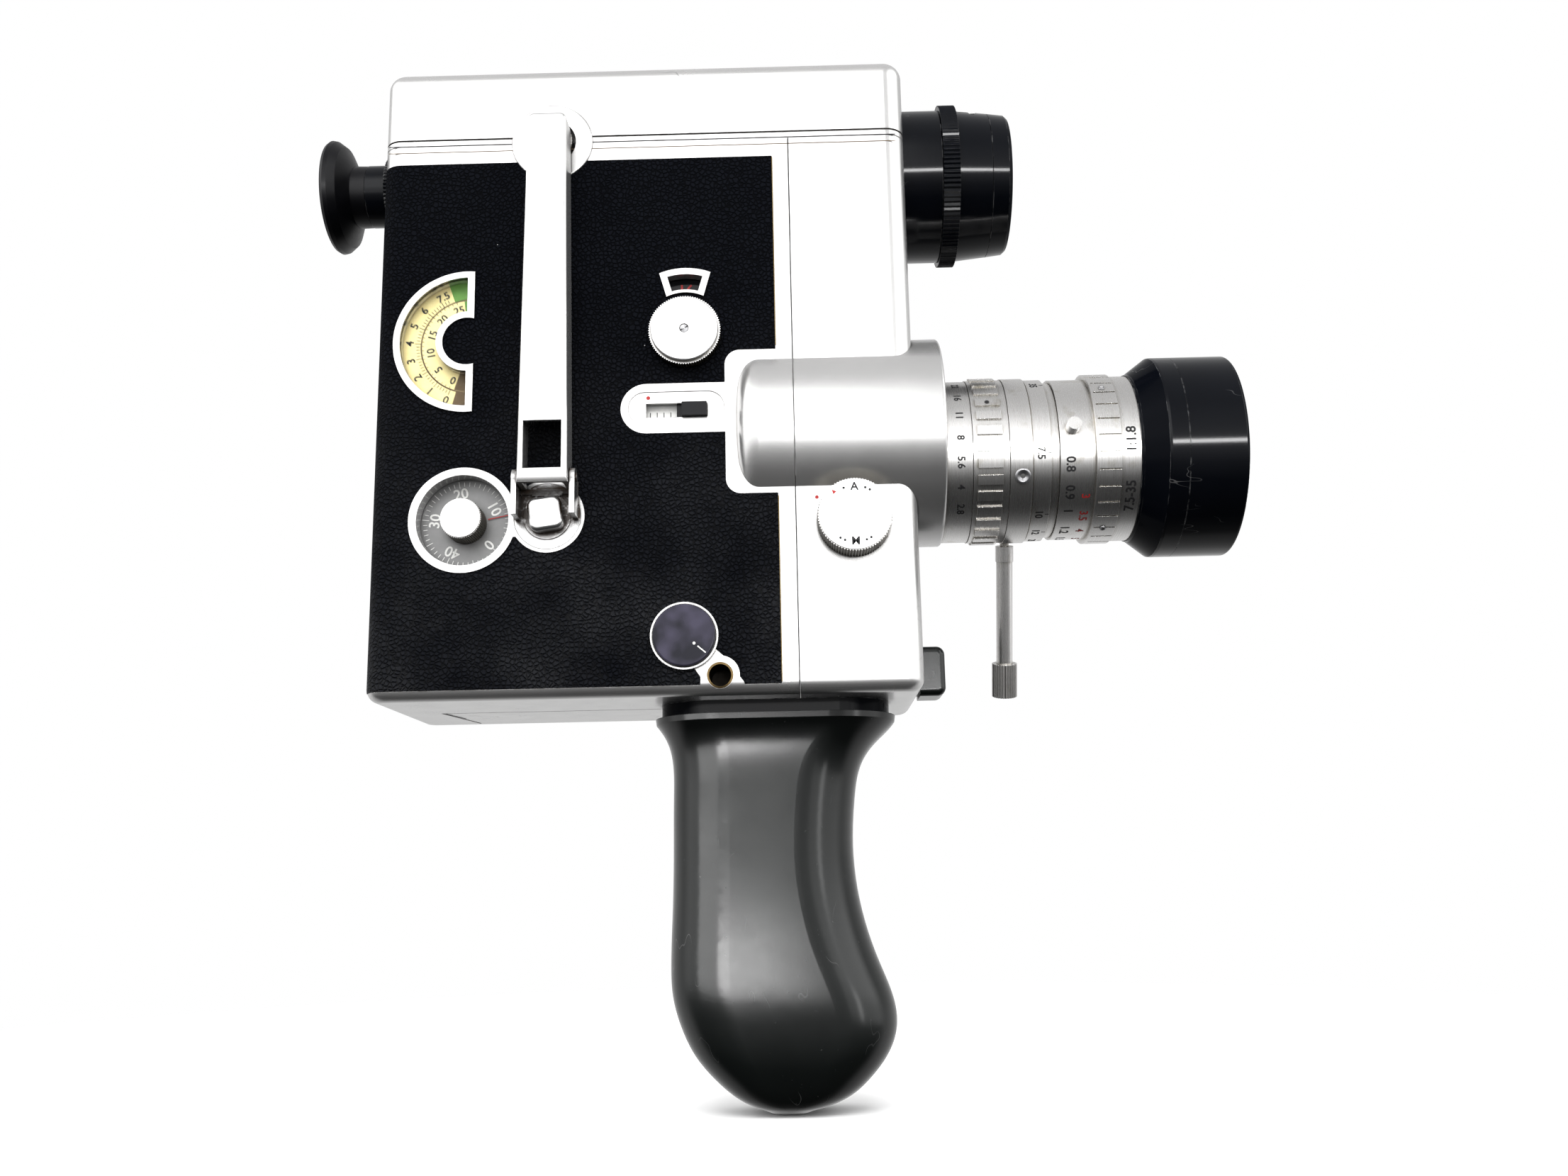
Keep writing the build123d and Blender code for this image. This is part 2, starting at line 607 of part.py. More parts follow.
def focus_ring():
    ring = stepped_tube(((FOCUS_X[0], FOCUS_X[1], 19.4),), JOURNAL + RUN, LENS_AXIS)
    peg_rise = 6.0
    peg = Pos(PEG_X, LENS_AXIS[0], LENS_AXIS[1]) * Rot(90 - peg_rise, 0, 0) * \
        Pos(0, 0, 18.0) * Cylinder(1.6, 4.6, align=BASE)
    return ring + peg


def focus_grip():
    ring = rod_x(LENS_AXIS, RING_RADIUS + 0.55, *GRIP_RING_X)
    ring -= radial_slots(GRIP_RING_X[0] + 0.6, GRIP_RING_X[1] + 1, 0.35, 0.8)
    return ring - rod_x(LENS_AXIS, JOURNAL + RUN, GRIP_RING_X[0] - 1, GRIP_RING_X[1] + 1)


def front_cell():
    back = FOCUS_X[1] - 0.6
    return turned(((back, 14.8), (back, JOURNAL + RUN), (GRIP_RING_X[1], JOURNAL + RUN),
                   (GRIP_RING_X[1], RING_RADIUS), (FRONT_CELL_X, RING_RADIUS), (FRONT_CELL_X, 17.4),
                   (LENS_SEAT_X, 16.4), (LENS_SEAT_X, 14.8)), LENS_AXIS)


def domed_glass(axis, radius, start, edge, crown):
    """Disc of glass from x = start, with a spherical front from edge out to crown."""
    rise = crown - edge
    ball = (radius ** 2 + rise ** 2) / (2 * rise)
    return rod_x(axis, radius, start, crown) & (Pos(crown - ball, axis[0], axis[1]) * Sphere(ball))


def front_lens():
    return domed_glass(LENS_AXIS, 16.3, LENS_SEAT_X, LENS_SEAT_X + 5.0, LENS_SEAT_X + 8.4)


def hood():
    ledge = HOOD_SEAM_X - 2.4
    cone = FRONT_CELL_X + 5.5
    return turned(((FRONT_CELL_X, 17.0), (FRONT_CELL_X, 20.2), (FRONT_CELL_X + 0.6, 20.4),
                   (cone, HOOD_RADIUS - 0.1), (cone + 0.6, HOOD_RADIUS), (HOOD_SEAM_X, HOOD_RADIUS),
                   (HOOD_SEAM_X, HOOD_BORE), (ledge, HOOD_BORE), (ledge, 21.4), (cone - 0.8, 20.6)),
                  LENS_AXIS)


def hood_front():
    ring = stepped_tube(((HOOD_SEAM_X + 0.05, HOOD_RIM_X, HOOD_RADIUS),), HOOD_BORE, LENS_AXIS)
    return fillet(ring.edges().sort_by(Axis.X)[-2:], 0.7)


# ---------------------------------------------------------------- meter and finder

def meter_barrel():
    steps = ((26.0, BODY_FRONT, 15.0), (BODY_FRONT, METER_RING_X[0] - 0.1, 19.1),
             (METER_RING_X[0] - 0.1, 60.0, 15.0))
    return stepped_tube(steps, 13.2, METER_AXIS)


def film_speed_ring():
    """Knurled ring with a tapered sleeve in front of it."""
    start, end = METER_RING_X
    bore = 15.0 + RUN
    knurl = extrude(lens_plane(METER_AXIS, start) * serrated(20.3, 0.3, 110), end - start)
    sleeve = turned(((end, bore), (end, 18.9), (METER_RIM_X, 18.0), (METER_RIM_X, bore)), METER_AXIS)
    return (knurl - rod_x(METER_AXIS, bore, 40, 60)) + sleeve


def meter_rim():
    return turned(((METER_RIM_X + 0.1, 15.0), (METER_RIM_X + 0.1, 18.0), (61.4, 17.5), (62.2, 16.8),
                   (62.2, 14.0), (60.0, 14.0), (60.0, 15.0)), METER_AXIS)


def meter_lens():
    return domed_glass(METER_AXIS, 13.2, 55.5, 58.0, 60.0)


def eyepiece_tube():
    return stepped_tube(((-104.0, -86.4, 7.0),), 5.4, FINDER_AXIS)


def diopter_ring():
    knurl = extrude(lens_plane(FINDER_AXIS, -97.2) * serrated(9.7, 0.3, 60), 5.1)
    stem = rod_x(FINDER_AXIS, 7.9, -102.6, -97.1)
    return (knurl + stem) - rod_x(FINDER_AXIS, 7.0 + RUN, -105, -90)


def eyecup():
    return turned(((-102.7, 7.0), (-102.7, 7.8), (-106.4, 7.9), (-108.6, 12.8), (-110.4, 14.2),
                   (-111.4, 14.4), (-112.2, 13.9), (-112.4, 13.0), (-111.2, 11.6), (-108.0, 6.4),
                   (-107.2, 5.6), (-104.0, 5.6), (-104.0, 7.0)), FINDER_AXIS)


def eyepiece_lens():
    return turned(((-103.4, 0), (-102.4, 5.4), (-99.8, 5.4), (-99.0, 0)), FINDER_AXIS)


# ---------------------------------------------------------------- film door

def film_door():
    plate = envelope() & block((HINGE[0], DOOR_FRONT), (DOOR_INNER, 40), (0.1, DOOR_TOP))
    plate -= block((-83.0, -3.0), (DOOR_INNER - 1, 24.9), (6.0, 127.0))
    flap = extrude(flap_outline(), WALL - 0.3)
    plate += Pos(0, 0, 0.1) * (flap - block((-100, 20), (DOOR_INNER + 0.2, 40), (-1, 5)))
    barrel = rod_z(HINGE[0], HINGE[1], HINGE_BARREL, 0.1, DOOR_TOP) & envelope()
    door = plate + barrel
    for bottom, top in SHELL_KNUCKLES:
        door -= rod_z(HINGE[0], HINGE[1], 2.5, bottom - 0.2, top + 0.2)
    door -= rod_z(HINGE[0], HINGE[1], 1.0 + RUN, 4.4, 128.6)
    door -= door_leatherette()
    return door - rod_y(LATCH, 2.0 + RUN, DOOR_INNER - 1, 30)


def door_leatherette():
    sheet = Pos(-42.0, 66.5) * RectangleRounded(80.0, 121.0, 4.0)
    hole = Pos(*LATCH) * Circle(7.2)
    return on_side(sheet - hole, (0, 0), HALF_WIDTH - LEATHER_DEPTH, HALF_WIDTH + LEATHER_PROUD)


def door_hinge_pin():
    return rod_z(HINGE[0], HINGE[1], 1.0, 4.6, 128.4)


def door_latch():
    knob = on_side(serrated(7.0, 0.3, 60), LATCH, HALF_WIDTH + 0.15, HALF_WIDTH + 2.2)
    bar = on_side(RectangleRounded(12.0, 3.0, 1.2), LATCH, HALF_WIDTH + 2.0, HALF_WIDTH + 4.0)
    shaft = rod_y(LATCH, 2.0, 20.4, HALF_WIDTH + 1)
    tongue = on_side(Pos(0, 4.0) * Rectangle(4.0, 14.0), LATCH, 20.4, 22.3)
    return knob + bar + shaft + tongue


# ---------------------------------------------------------------- grip

def grip_plate():
    plate = Pos(0.4, 0, -3.0) * extrude(RectangleRounded(54.0, 33.0, 12.0), 3.0)
    return plate - rod_z(0, 0, GRIP_BUSH, -4, 1)


def grip():
    faces = []
    for z, rear, front, half in GRIP_SECTIONS:
        radius = min(0.9 * half, 0.45 * (front - rear))
        outline = RectangleRounded(front - rear, 2 * half, radius)
        faces.append(Pos((rear + front) / 2, 0, z) * outline)
    body = loft(faces[:2], ruled=True) + loft(faces[1:])
    body -= rod_z(0, 0, GRIP_BUSH, -16.0, 0)
    body -= rod_z(0, 0, 5.6, -82.0, -15.0)
    return body - rod_z(TRIPOD_X, 0, TRIPOD_RADIUS, -95, -84.0)


def grip_screw():
    shank = rod_z(0, 0, GRIP_BUSH, -15.0, 11.0)
    head = rod_z(0, 0, 5.2, -19.0, -15.0)
    return shank + head - block((-6, 6), (-0.6, 0.6), (-20, -17.6))


# ---------------------------------------------------------------- works

def mechanism_plate():
    plate = block((BODY_REAR + WALL, 4.0), PLATE_Y, (WALL, TOP_SEAM - SEAM_GAP / 2 - WALL))
    for centre in SPOOLS:
        plate += rod_y(centre, SPOOL_POST, PLATE_Y[1] - 0.5, 8.0)
    plate -= block((3.0, 6.0), (-13, -10), (LENS_AXIS[1] - 14, LENS_AXIS[1] + 14))
    holes = ((FOOTAGE, 1.2), (COUNTER, 1.5), (CRANK, 2.6), (DRIVE_GEAR, 1.5))
    for centre, radius in holes:
        plate -= rod_y(centre, radius + RUN, -14, -10)
    return plate - rod_z(0, 0, 5.5, -1, 12.0)


def mainspring_barrel():
    drum = on_side(involute_gear(BARREL_TEETH, 0), CRANK, -14.6, -13.0)
    drum += rod_y(CRANK, 15.4, -21.0, -14.6)
    return drum - rod_y(CRANK, 2.6 + RUN, -30, -10)


def drive_gear():
    half_pitch = math.pi / DRIVE_TEETH
    wheel = on_side(involute_gear(DRIVE_TEETH, math.pi + half_pitch), DRIVE_GEAR, -14.6, -13.0)
    return wheel + rod_y(DRIVE_GEAR, 1.5, -20.0, PLATE_Y[1])


def film_gate():
    plate = block((2.2, 4.0), (-10.9, 9.0), (36.0, 80.0))
    aperture = block((0, 6), (LENS_AXIS[0] - 2.25, LENS_AXIS[0] + 2.25),
                     (LENS_AXIS[1] - 1.65, LENS_AXIS[1] + 1.65))
    return plate - aperture


def pressure_plate():
    pad = block((0.2, 1.8), (-10.5, 7.0), (42.0, 75.0))
    stem = block((-6.0, 0.4), (-5.0, 1.0), (55.0, 61.0))
    return pad + stem


def shutter_disc():
    axis = (6.0, LENS_AXIS[1])
    disc = rod_x(axis, 17.5, 9.0, 9.5)
    opening = block((8, 10), (axis[0] - 20, axis[0]), (axis[1], axis[1] + 20))
    disc -= opening & (rod_x(axis, 16.4, 8, 10) - rod_x(axis, 6.0, 8, 10))
    return disc + rod_x(axis, 1.5, 4.3, 14.0) + rod_x(axis, 4.0, 9.4, 11.0)


def spool(centre):
    reel = rod_y(centre, 8.0, -10.5, 6.3)
    for start in (-10.5, 5.5):
        flange = rod_y(centre, SPOOL_RADIUS, start, start + 0.8)
        for i in range(3):
            angle = math.radians(120 * i + 30)
            hole = (centre[0] + 15.5 * math.cos(angle), centre[1] + 15.5 * math.sin(angle))
            flange -= rod_y(hole, 4.5, start - 1, start + 2)
        reel += flange
    return reel - rod_y(centre, SPOOL_POST + RUN, -12, 8)


def supply_spool():
    return spool(SPOOLS[0])


def takeup_spool():
    return spool(SPOOLS[1])


PARTS = (main_shell, front_housing, top_housing, side_leatherette, footage_bezel, footage_window,
         footage_disc, counter_bezel, counter_dial, counter_knob, winding_shaft, crank_nut,
         crank_clevis, crank_arm, crank_knob, knob_well, speed_knob, speed_bezel,
         speed_disc, slide_tab, mode_knob, lock_knob, release_socket, release_button,
         lens_barrel, iris_ring, iris_diaphragm, zoom_ring, zoom_lever, zoom_group, rear_lens,
         focus_ring, focus_grip, front_cell, front_lens, hood, hood_front,
         meter_barrel, film_speed_ring, meter_rim, meter_lens, eyepiece_tube,
         diopter_ring, eyecup, eyepiece_lens, film_door, door_leatherette, door_hinge_pin,
         door_latch, grip_plate, grip, grip_screw, mechanism_plate, mainspring_barrel)
WORKS = (drive_gear, film_gate, pressure_plate, shutter_disc, supply_spool, takeup_spool)

os.makedirs("parts", exist_ok=True)
for maker in PARTS + WORKS:
    shape = maker()
    export_step(shape, "parts/" + maker.__name__ + ".step")
    print(maker.__name__, len(shape.solids()), round(shape.volume, 1), shape.is_valid)
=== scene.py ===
import bpy
import math
from mathutils import Matrix, Vector
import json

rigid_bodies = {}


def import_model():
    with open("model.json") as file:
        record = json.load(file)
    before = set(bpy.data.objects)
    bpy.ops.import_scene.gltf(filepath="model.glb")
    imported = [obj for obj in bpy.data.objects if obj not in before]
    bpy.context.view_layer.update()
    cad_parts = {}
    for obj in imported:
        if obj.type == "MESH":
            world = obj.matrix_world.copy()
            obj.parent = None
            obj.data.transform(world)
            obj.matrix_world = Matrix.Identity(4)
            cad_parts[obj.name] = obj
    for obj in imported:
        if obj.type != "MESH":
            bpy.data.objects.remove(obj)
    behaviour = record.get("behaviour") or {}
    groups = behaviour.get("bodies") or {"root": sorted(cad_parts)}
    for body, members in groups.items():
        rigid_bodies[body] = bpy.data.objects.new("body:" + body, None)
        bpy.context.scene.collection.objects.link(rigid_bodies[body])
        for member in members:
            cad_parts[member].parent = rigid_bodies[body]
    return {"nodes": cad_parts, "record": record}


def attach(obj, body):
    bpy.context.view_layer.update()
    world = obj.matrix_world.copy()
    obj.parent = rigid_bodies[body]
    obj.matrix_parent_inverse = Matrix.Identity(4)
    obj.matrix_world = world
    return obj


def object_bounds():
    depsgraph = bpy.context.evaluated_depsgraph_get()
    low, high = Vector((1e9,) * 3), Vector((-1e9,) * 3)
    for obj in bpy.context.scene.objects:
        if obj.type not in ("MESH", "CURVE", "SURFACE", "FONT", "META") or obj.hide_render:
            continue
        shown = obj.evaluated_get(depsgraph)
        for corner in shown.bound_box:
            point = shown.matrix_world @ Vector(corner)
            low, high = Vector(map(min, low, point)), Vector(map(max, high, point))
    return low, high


for leftover in list(bpy.data.objects):
    bpy.data.objects.remove(leftover)

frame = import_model()
cad_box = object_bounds()

# Looks of the cine camera. Lengths in the helpers below are in millimetres, in the CAD frame;
# they become metres only when vertices are written.

MM = 0.001
SIDE_Y = -27.0                # plane of the crank side
LENS_AXIS = (-7.0, 58.2)      # Y, Z
METER_AXIS = (0.0, 134.8)     # Y, Z

# X, Z of the middle of each control on the crank side
FOOTAGE = (-70.2, 84.9)
COUNTER = (-70.3, 41.5)
SPEED = (-18.7, 85.4)
MODE = (19.7, 39.2)
LOCK = (-19.35, 13.3)


# ------------------------------------------------------------------ material helpers

class Graph:
    """Builds one procedural material around a Principled shader."""

    def __init__(self, name):
        self.material = bpy.data.materials.new(name)
        self.material.use_nodes = True
        self.tree = self.material.node_tree
        self.tree.nodes.clear()
        self.shader = self.add("ShaderNodeBsdfPrincipled")
        output = self.add("ShaderNodeOutputMaterial")
        self.tree.links.new(self.shader.outputs[0], output.inputs[0])
        self.place = self.add("ShaderNodeTexCoord").outputs["Object"]

    def add(self, kind):
        return self.tree.nodes.new(kind)

    def feed(self, socket, value):
        if isinstance(value, bpy.types.NodeSocket):
            self.tree.links.new(value, socket)
        else:
            socket.default_value = value

    def set(self, **inputs):
        """Sets Principled inputs by name, with _ for a space."""
        for name, value in inputs.items():
            self.feed(self.shader.inputs[name.replace("_", " ")], value)

    def stretched(self, scale):
        """Object coordinates multiplied by a per-axis scale."""
        mapping = self.add("ShaderNodeMapping")
        self.feed(mapping.inputs["Vector"], self.place)
        mapping.inputs["Scale"].default_value = scale
        return mapping.outputs[0]

    def noise(self, size_mm, detail=4.0, where=None, roughness=0.55):
        node = self.add("ShaderNodeTexNoise")
        self.feed(node.inputs["Vector"], where or self.place)
        node.inputs["Scale"].default_value = 1000.0 / size_mm
        node.inputs["Detail"].default_value = detail
        node.inputs["Roughness"].default_value = roughness
        return node.outputs["Fac"]

    def cells(self, size_mm, feature="F1", where=None):
        node = self.add("ShaderNodeTexVoronoi")
        node.feature = feature
        self.feed(node.inputs["Vector"], where or self.place)
        node.inputs["Scale"].default_value = 1000.0 / size_mm
        return node.outputs["Distance"]

    def ramp(self, fac, low, high, a=(0, 0, 0, 1), b=(1, 1, 1, 1)):
        """Blends from colour a at low to colour b at high."""
        node = self.add("ShaderNodeValToRGB")
        self.feed(node.inputs[0], fac)
        node.color_ramp.elements[0].position = low
        node.color_ramp.elements[0].color = a
        node.color_ramp.elements[1].position = high
        node.color_ramp.elements[1].color = b
        return node.outputs[0]

    def mix(self, fac, a, b):
        node = self.add("ShaderNodeMix")
        node.data_type = "RGBA"
        self.feed(node.inputs["Factor"], fac)
        self.feed(node.inputs[6], a)
        self.feed(node.inputs[7], b)
        return node.outputs[2]

    def calc(self, kind, a, b=0.0):
        node = self.add("ShaderNodeMath")
        node.operation = kind
        node.use_clamp = False
        self.feed(node.inputs[0], a)
        self.feed(node.inputs[1], b)
        return node.outputs[0]

    def span(self, fac, low, high):
        """Turns a 0..1 value into one between low and high."""
        return self.calc("ADD", self.calc("MULTIPLY", fac, high - low), low)

    def edges(self, radius_mm, low=0.004, high=0.10):
        """1 along convex and concave edges, 0 on flats."""
        bevel = self.add("ShaderNodeBevel")
        bevel.samples = 4
        bevel.inputs["Radius"].default_value = radius_mm * MM
        geometry = self.add("ShaderNodeNewGeometry")
        dot = self.add("ShaderNodeVectorMath")
        dot.operation = "DOT_PRODUCT"
        self.tree.links.new(bevel.outputs[0], dot.inputs[0])
        self.tree.links.new(geometry.outputs["Normal"], dot.inputs[1])
        return self.ramp(self.calc("SUBTRACT", 1.0, dot.outputs["Value"]), low, high)

    def crevices(self, reach_mm):
        """1 in corners and seams, 0 on open surface."""
        node = self.add("ShaderNodeAmbientOcclusion")
        node.samples = 8
        node.inputs["Distance"].default_value = reach_mm * MM
        return self.calc("SUBTRACT", 1.0, node.outputs["AO"])

    def facing(self, axis, low, high):
        """1 on faces that look along one of the part's own axes, 0 on faces parallel to it."""
        normal = self.add("ShaderNodeTexCoord").outputs["Normal"]
        split = self.add("ShaderNodeSeparateXYZ")
        self.tree.links.new(normal, split.inputs[0])
        return self.ramp(self.calc("ABSOLUTE", split.outputs[axis]), low, high)

    def flank(self, low=0.25, high=0.6):
        """1 on faces that look along the side, 0 on faces that look out of it (the part's own Y)."""
        return self.calc("SUBTRACT", 1.0, self.facing("Y", low, high))

    def bump(self, height, strength, distance_mm, soft_edge_mm=0.0):
        node = self.add("ShaderNodeBump")
        self.feed(node.inputs["Height"], height)
        node.inputs["Strength"].default_value = strength
        node.inputs["Distance"].default_value = distance_mm * MM
        if soft_edge_mm:
            bevel = self.add("ShaderNodeBevel")
            bevel.samples = 4
            bevel.inputs["Radius"].default_value = soft_edge_mm * MM
            self.tree.links.new(bevel.outputs[0], node.inputs["Normal"])
        self.tree.links.new(node.outputs[0], self.shader.inputs["Normal"])

    def scratches(self, size_mm, where=None):
        """Thin sparse lines: the valley of a distorted noise."""
        field = self.noise(size_mm, 2.0, where)
        centred = self.calc("ABSOLUTE", self.calc("SUBTRACT", field, 0.5))
        line = self.ramp(centred, 0.0, 0.004, (1, 1, 1, 1), (0, 0, 0, 1))
        patch = self.ramp(self.noise(size_mm * 1.7, 2.0), 0.56, 0.66)
        return self.calc("MULTIPLY", line, patch)


def grey(value, warm=0.0):
    return (value * (1 + warm), value, value * (1 - warm), 1)


# ------------------------------------------------------------------ materials

def silver_casing():
    """Satin silver paint on cast metal, greyed and rubbed along its edges."""
    g = Graph("silver_casing")
    cloud = g.noise(30.0, 5.0)
    colour = g.mix(cloud, grey(0.60, 0.004), grey(0.68, 0.008))
    # painted shade: dark brown in the seams and corners of the casing, where shade falls
    dirt_and_shade = g.ramp(g.crevices(1.2), 0.20, 0.60)
    colour = g.mix(g.calc("MULTIPLY", dirt_and_shade, 0.93), colour, (0.045, 0.036, 0.026, 1))
    rubbed = g.calc("MULTIPLY", g.edges(0.5), g.ramp(g.noise(2.5, 6.0), 0.42, 0.62))
    colour = g.mix(g.calc("MULTIPLY", rubbed, 0.75), colour, grey(0.20, 0.05))
    marks = g.scratches(17.0, g.stretched((1.0, 1.0, 2.3)))
    colour = g.mix(g.calc("MULTIPLY", marks, 0.55), colour, grey(0.20))
    specks = g.ramp(g.cells(3.4), 0.035, 0.06, (1, 1, 1, 1), (0, 0, 0, 1))
    specks = g.calc("MULTIPLY", specks, g.ramp(g.noise(9.0), 0.6, 0.66))
    colour = g.mix(g.calc("MULTIPLY", specks, 0.7), colour, grey(0.12, 0.1))
    g.set(Base_Color=colour, Metallic=0.8, Roughness=g.span(g.noise(7.0, 4.0), 0.22, 0.30))
    g.bump(g.noise(0.35, 3.0), 0.10, 0.05, 0.15)
    return g.material


def leather():
    """Near-black leatherette with a pressed pebble grain."""
    g = Graph("leather")
    wobble = g.add("ShaderNodeVectorMath")
    wobble.operation = "ADD"
    shift = g.add("ShaderNodeTexNoise")
    g.feed(shift.inputs["Vector"], g.place)
    shift.inputs["Scale"].default_value = 700.0
    scaled = g.add("ShaderNodeVectorMath")
    scaled.operation = "SCALE"
    g.tree.links.new(shift.outputs["Color"], scaled.inputs[0])
    scaled.inputs["Scale"].default_value = 0.0006
    g.tree.links.new(g.place, wobble.inputs[0])
    g.tree.links.new(scaled.outputs[0], wobble.inputs[1])
    pebbles = g.cells(1.05, "DISTANCE_TO_EDGE", wobble.outputs[0])
    height = g.ramp(pebbles, 0.0, 0.22)
    fine = g.noise(0.25, 3.0)
    tone = g.mix(g.noise(14.0, 4.0), (0.0035, 0.0042, 0.0065, 1), (0.0075, 0.0085, 0.012, 1))
    tone = g.mix(g.calc("SUBTRACT", 1.0, height), tone, (0.0015, 0.0017, 0.0025, 1))
    dust = g.ramp(g.cells(5.2), 0.02, 0.035, (1, 1, 1, 1), (0, 0, 0, 1))
    dust = g.calc("MULTIPLY", dust, g.ramp(g.noise(11.0), 0.55, 0.6))
    tone = g.mix(g.calc("MULTIPLY", dust, 0.8), tone, grey(0.45))
    split = g.add("ShaderNodeSeparateXYZ")
    g.tree.links.new(g.place, split.inputs[0])
    low = g.ramp(g.calc("MULTIPLY", split.outputs["Z"], 8.0), 0.0, 0.75, (1, 1, 1, 1), (0, 0, 0, 1))
    worn = g.calc("MULTIPLY", low, g.ramp(g.noise(26.0, 3.0), 0.30, 0.62))
    g.set(Base_Color=tone, Roughness=g.span(worn, 0.62, 0.42))
    g.feed(g.shader.inputs["Specular IOR Level"], g.span(worn, 0.03, 0.24))
    g.bump(g.calc("ADD", height, g.calc("MULTIPLY", fine, 0.35)), 0.9, 0.22)
    return g.material


def turned_metal(name, shade, roughness, warm=0.012, groove=0.5):
    """Aluminium turned about the lens direction, with yellowed dirt in the seams."""
    g = Graph(name)
    rings = g.noise(0.12, 2.0, g.stretched((1.0, 0.02, 0.02)))
    cloud = g.noise(12.0, 4.0)
    colour = g.mix(cloud, grey(shade * 0.92, warm), grey(shade, warm))
    dirt_and_shade = g.calc("MULTIPLY", g.crevices(1.1), 0.8)
    colour = g.mix(dirt_and_shade, colour, (0.16, 0.13, 0.07, 1))
    stain = g.ramp(g.noise(4.0, 6.0), 0.60, 0.74)
    colour = g.mix(g.calc("MULTIPLY", stain, 0.30), colour, (0.34, 0.30, 0.20, 1))
    g.set(Base_Color=colour, Metallic=0.95, Roughness=g.span(rings, roughness - 0.05, roughness + 0.07))
    g.bump(rings, 0.06 * groove, 0.05, 0.12)
    return g.material


def plated(name, shade, roughness):
    """Bright plated trim, finely scratched."""
    g = Graph(name)
    cloud = g.noise(5.0, 5.0)
    dirt_and_shade = g.calc("MULTIPLY", g.crevices(0.8), 0.85)
    colour = g.mix(dirt_and_shade, g.mix(cloud, grey(shade * 0.9), grey(shade)), (0.12, 0.09, 0.05, 1))
    pits = g.ramp(g.noise(0.8, 5.0), 0.66, 0.72)
    colour = g.mix(g.calc("MULTIPLY", pits, 0.5), colour, (0.18, 0.13, 0.08, 1))
    g.set(Base_Color=colour, Metallic=0.9, Roughness=g.span(g.noise(2.0, 4.0), roughness, roughness + 0.14))
    g.bump(g.noise(0.4, 4.0), 0.08, 0.05, 0.12)
    return g.material


def knob_metal():
    """Bright turned cap over a knurled skirt that is painted dark as shade."""
    g = Graph("knob_metal")
    cloud = g.noise(4.0, 5.0)
    colour = g.mix(cloud, grey(0.76), grey(0.84))
    # painted shade: the knurled skirt, on faces looking along the side, is coloured dark
    skirt = g.mix(g.noise(1.2, 5.0), (0.05, 0.048, 0.04, 1), (0.20, 0.19, 0.16, 1))
    colour = g.mix(g.flank(), colour, skirt)
    dirt_and_shade = g.calc("MULTIPLY", g.crevices(0.9), 0.9)
    colour = g.mix(dirt_and_shade, colour, (0.10, 0.07, 0.035, 1))
    g.set(Base_Color=colour, Metallic=0.75, Roughness=g.span(g.noise(2.0, 4.0), 0.26, 0.38))
    g.bump(g.noise(0.4, 4.0), 0.08, 0.05, 0.12)
    return g.material


def nut_metal():
    """Worn bright nut and clevis, with old brown grease in the corners."""
    g = Graph("nut_metal")
    cloud = g.noise(3.0, 6.0)
    colour = g.mix(cloud, grey(0.55), grey(0.82))
    corner = g.ramp(g.crevices(4.0), 0.12, 0.38)
    grease = g.calc("MULTIPLY", corner, g.ramp(g.noise(1.6, 6.0), 0.26, 0.46))
    colour = g.mix(grease, colour, (0.030, 0.017, 0.009, 1))
    speck = g.ramp(g.noise(0.7, 5.0), 0.64, 0.70)
    colour = g.mix(g.calc("MULTIPLY", speck, 0.8), colour, (0.05, 0.03, 0.015, 1))
    g.set(Base_Color=colour, Metallic=g.span(grease, 0.9, 0.1), Roughness=g.span(cloud, 0.16, 0.30))
    g.bump(g.noise(0.9, 5.0), 0.12, 0.08, 0.15)
    return g.material


def old_brass():
    """Brass bush, bright only on its rim; its bore is painted near black as the shade inside it."""
    g = Graph("old_brass")
    tone = g.mix(g.noise(1.5, 5.0), (0.10, 0.07, 0.03, 1), (0.24, 0.17, 0.08, 1))
    # painted shade: the bore walls, facing sideways, are coloured near black
    tone = g.mix(g.flank(0.5, 0.9), tone, (0.012, 0.007, 0.004, 1))
    # painted shade: darker still deep in the bore, where the most shade falls
    tone = g.mix(g.ramp(g.crevices(6.0), 0.35, 0.6), tone, (0.006, 0.004, 0.002, 1))
    g.set(Base_Color=tone, Metallic=0.8, Roughness=g.span(g.noise(0.8, 5.0), 0.35, 0.6))
    g.bump(g.noise(0.4, 4.0), 0.15, 0.05)
    return g.material


def black_metal(name, wear):
    """Glossy black anodised aluminium, rubbed to grey on its edges by the amount of wear."""
    g = Graph(name)
    rings = g.noise(0.15, 2.0, g.stretched((1.0, 0.03, 0.03)))
    base = g.mix(g.noise(15.0, 4.0), (0.0015, 0.002, 0.0035, 1), (0.004, 0.005, 0.008, 1))
    worn = g.calc("MULTIPLY", g.edges(0.25), g.ramp(g.noise(3.0, 6.0), 0.45, 0.6))
    base = g.mix(g.calc("MULTIPLY", worn, wear), base, grey(0.30))
    marks = g.scratches(13.0, g.stretched((0.6, 2.0, 2.0)))
    base = g.mix(g.calc("MULTIPLY", marks, 0.5), base, grey(0.30))
    g.set(Base_Color=base, Metallic=0.0, Roughness=g.span(rings, 0.09, 0.14))
    g.feed(g.shader.inputs["Specular IOR Level"], g.span(g.facing("X", 0.15, 0.4), 0.27, 0.04))
    g.bump(rings, 0.03, 0.05, 0.15)
    return g.material


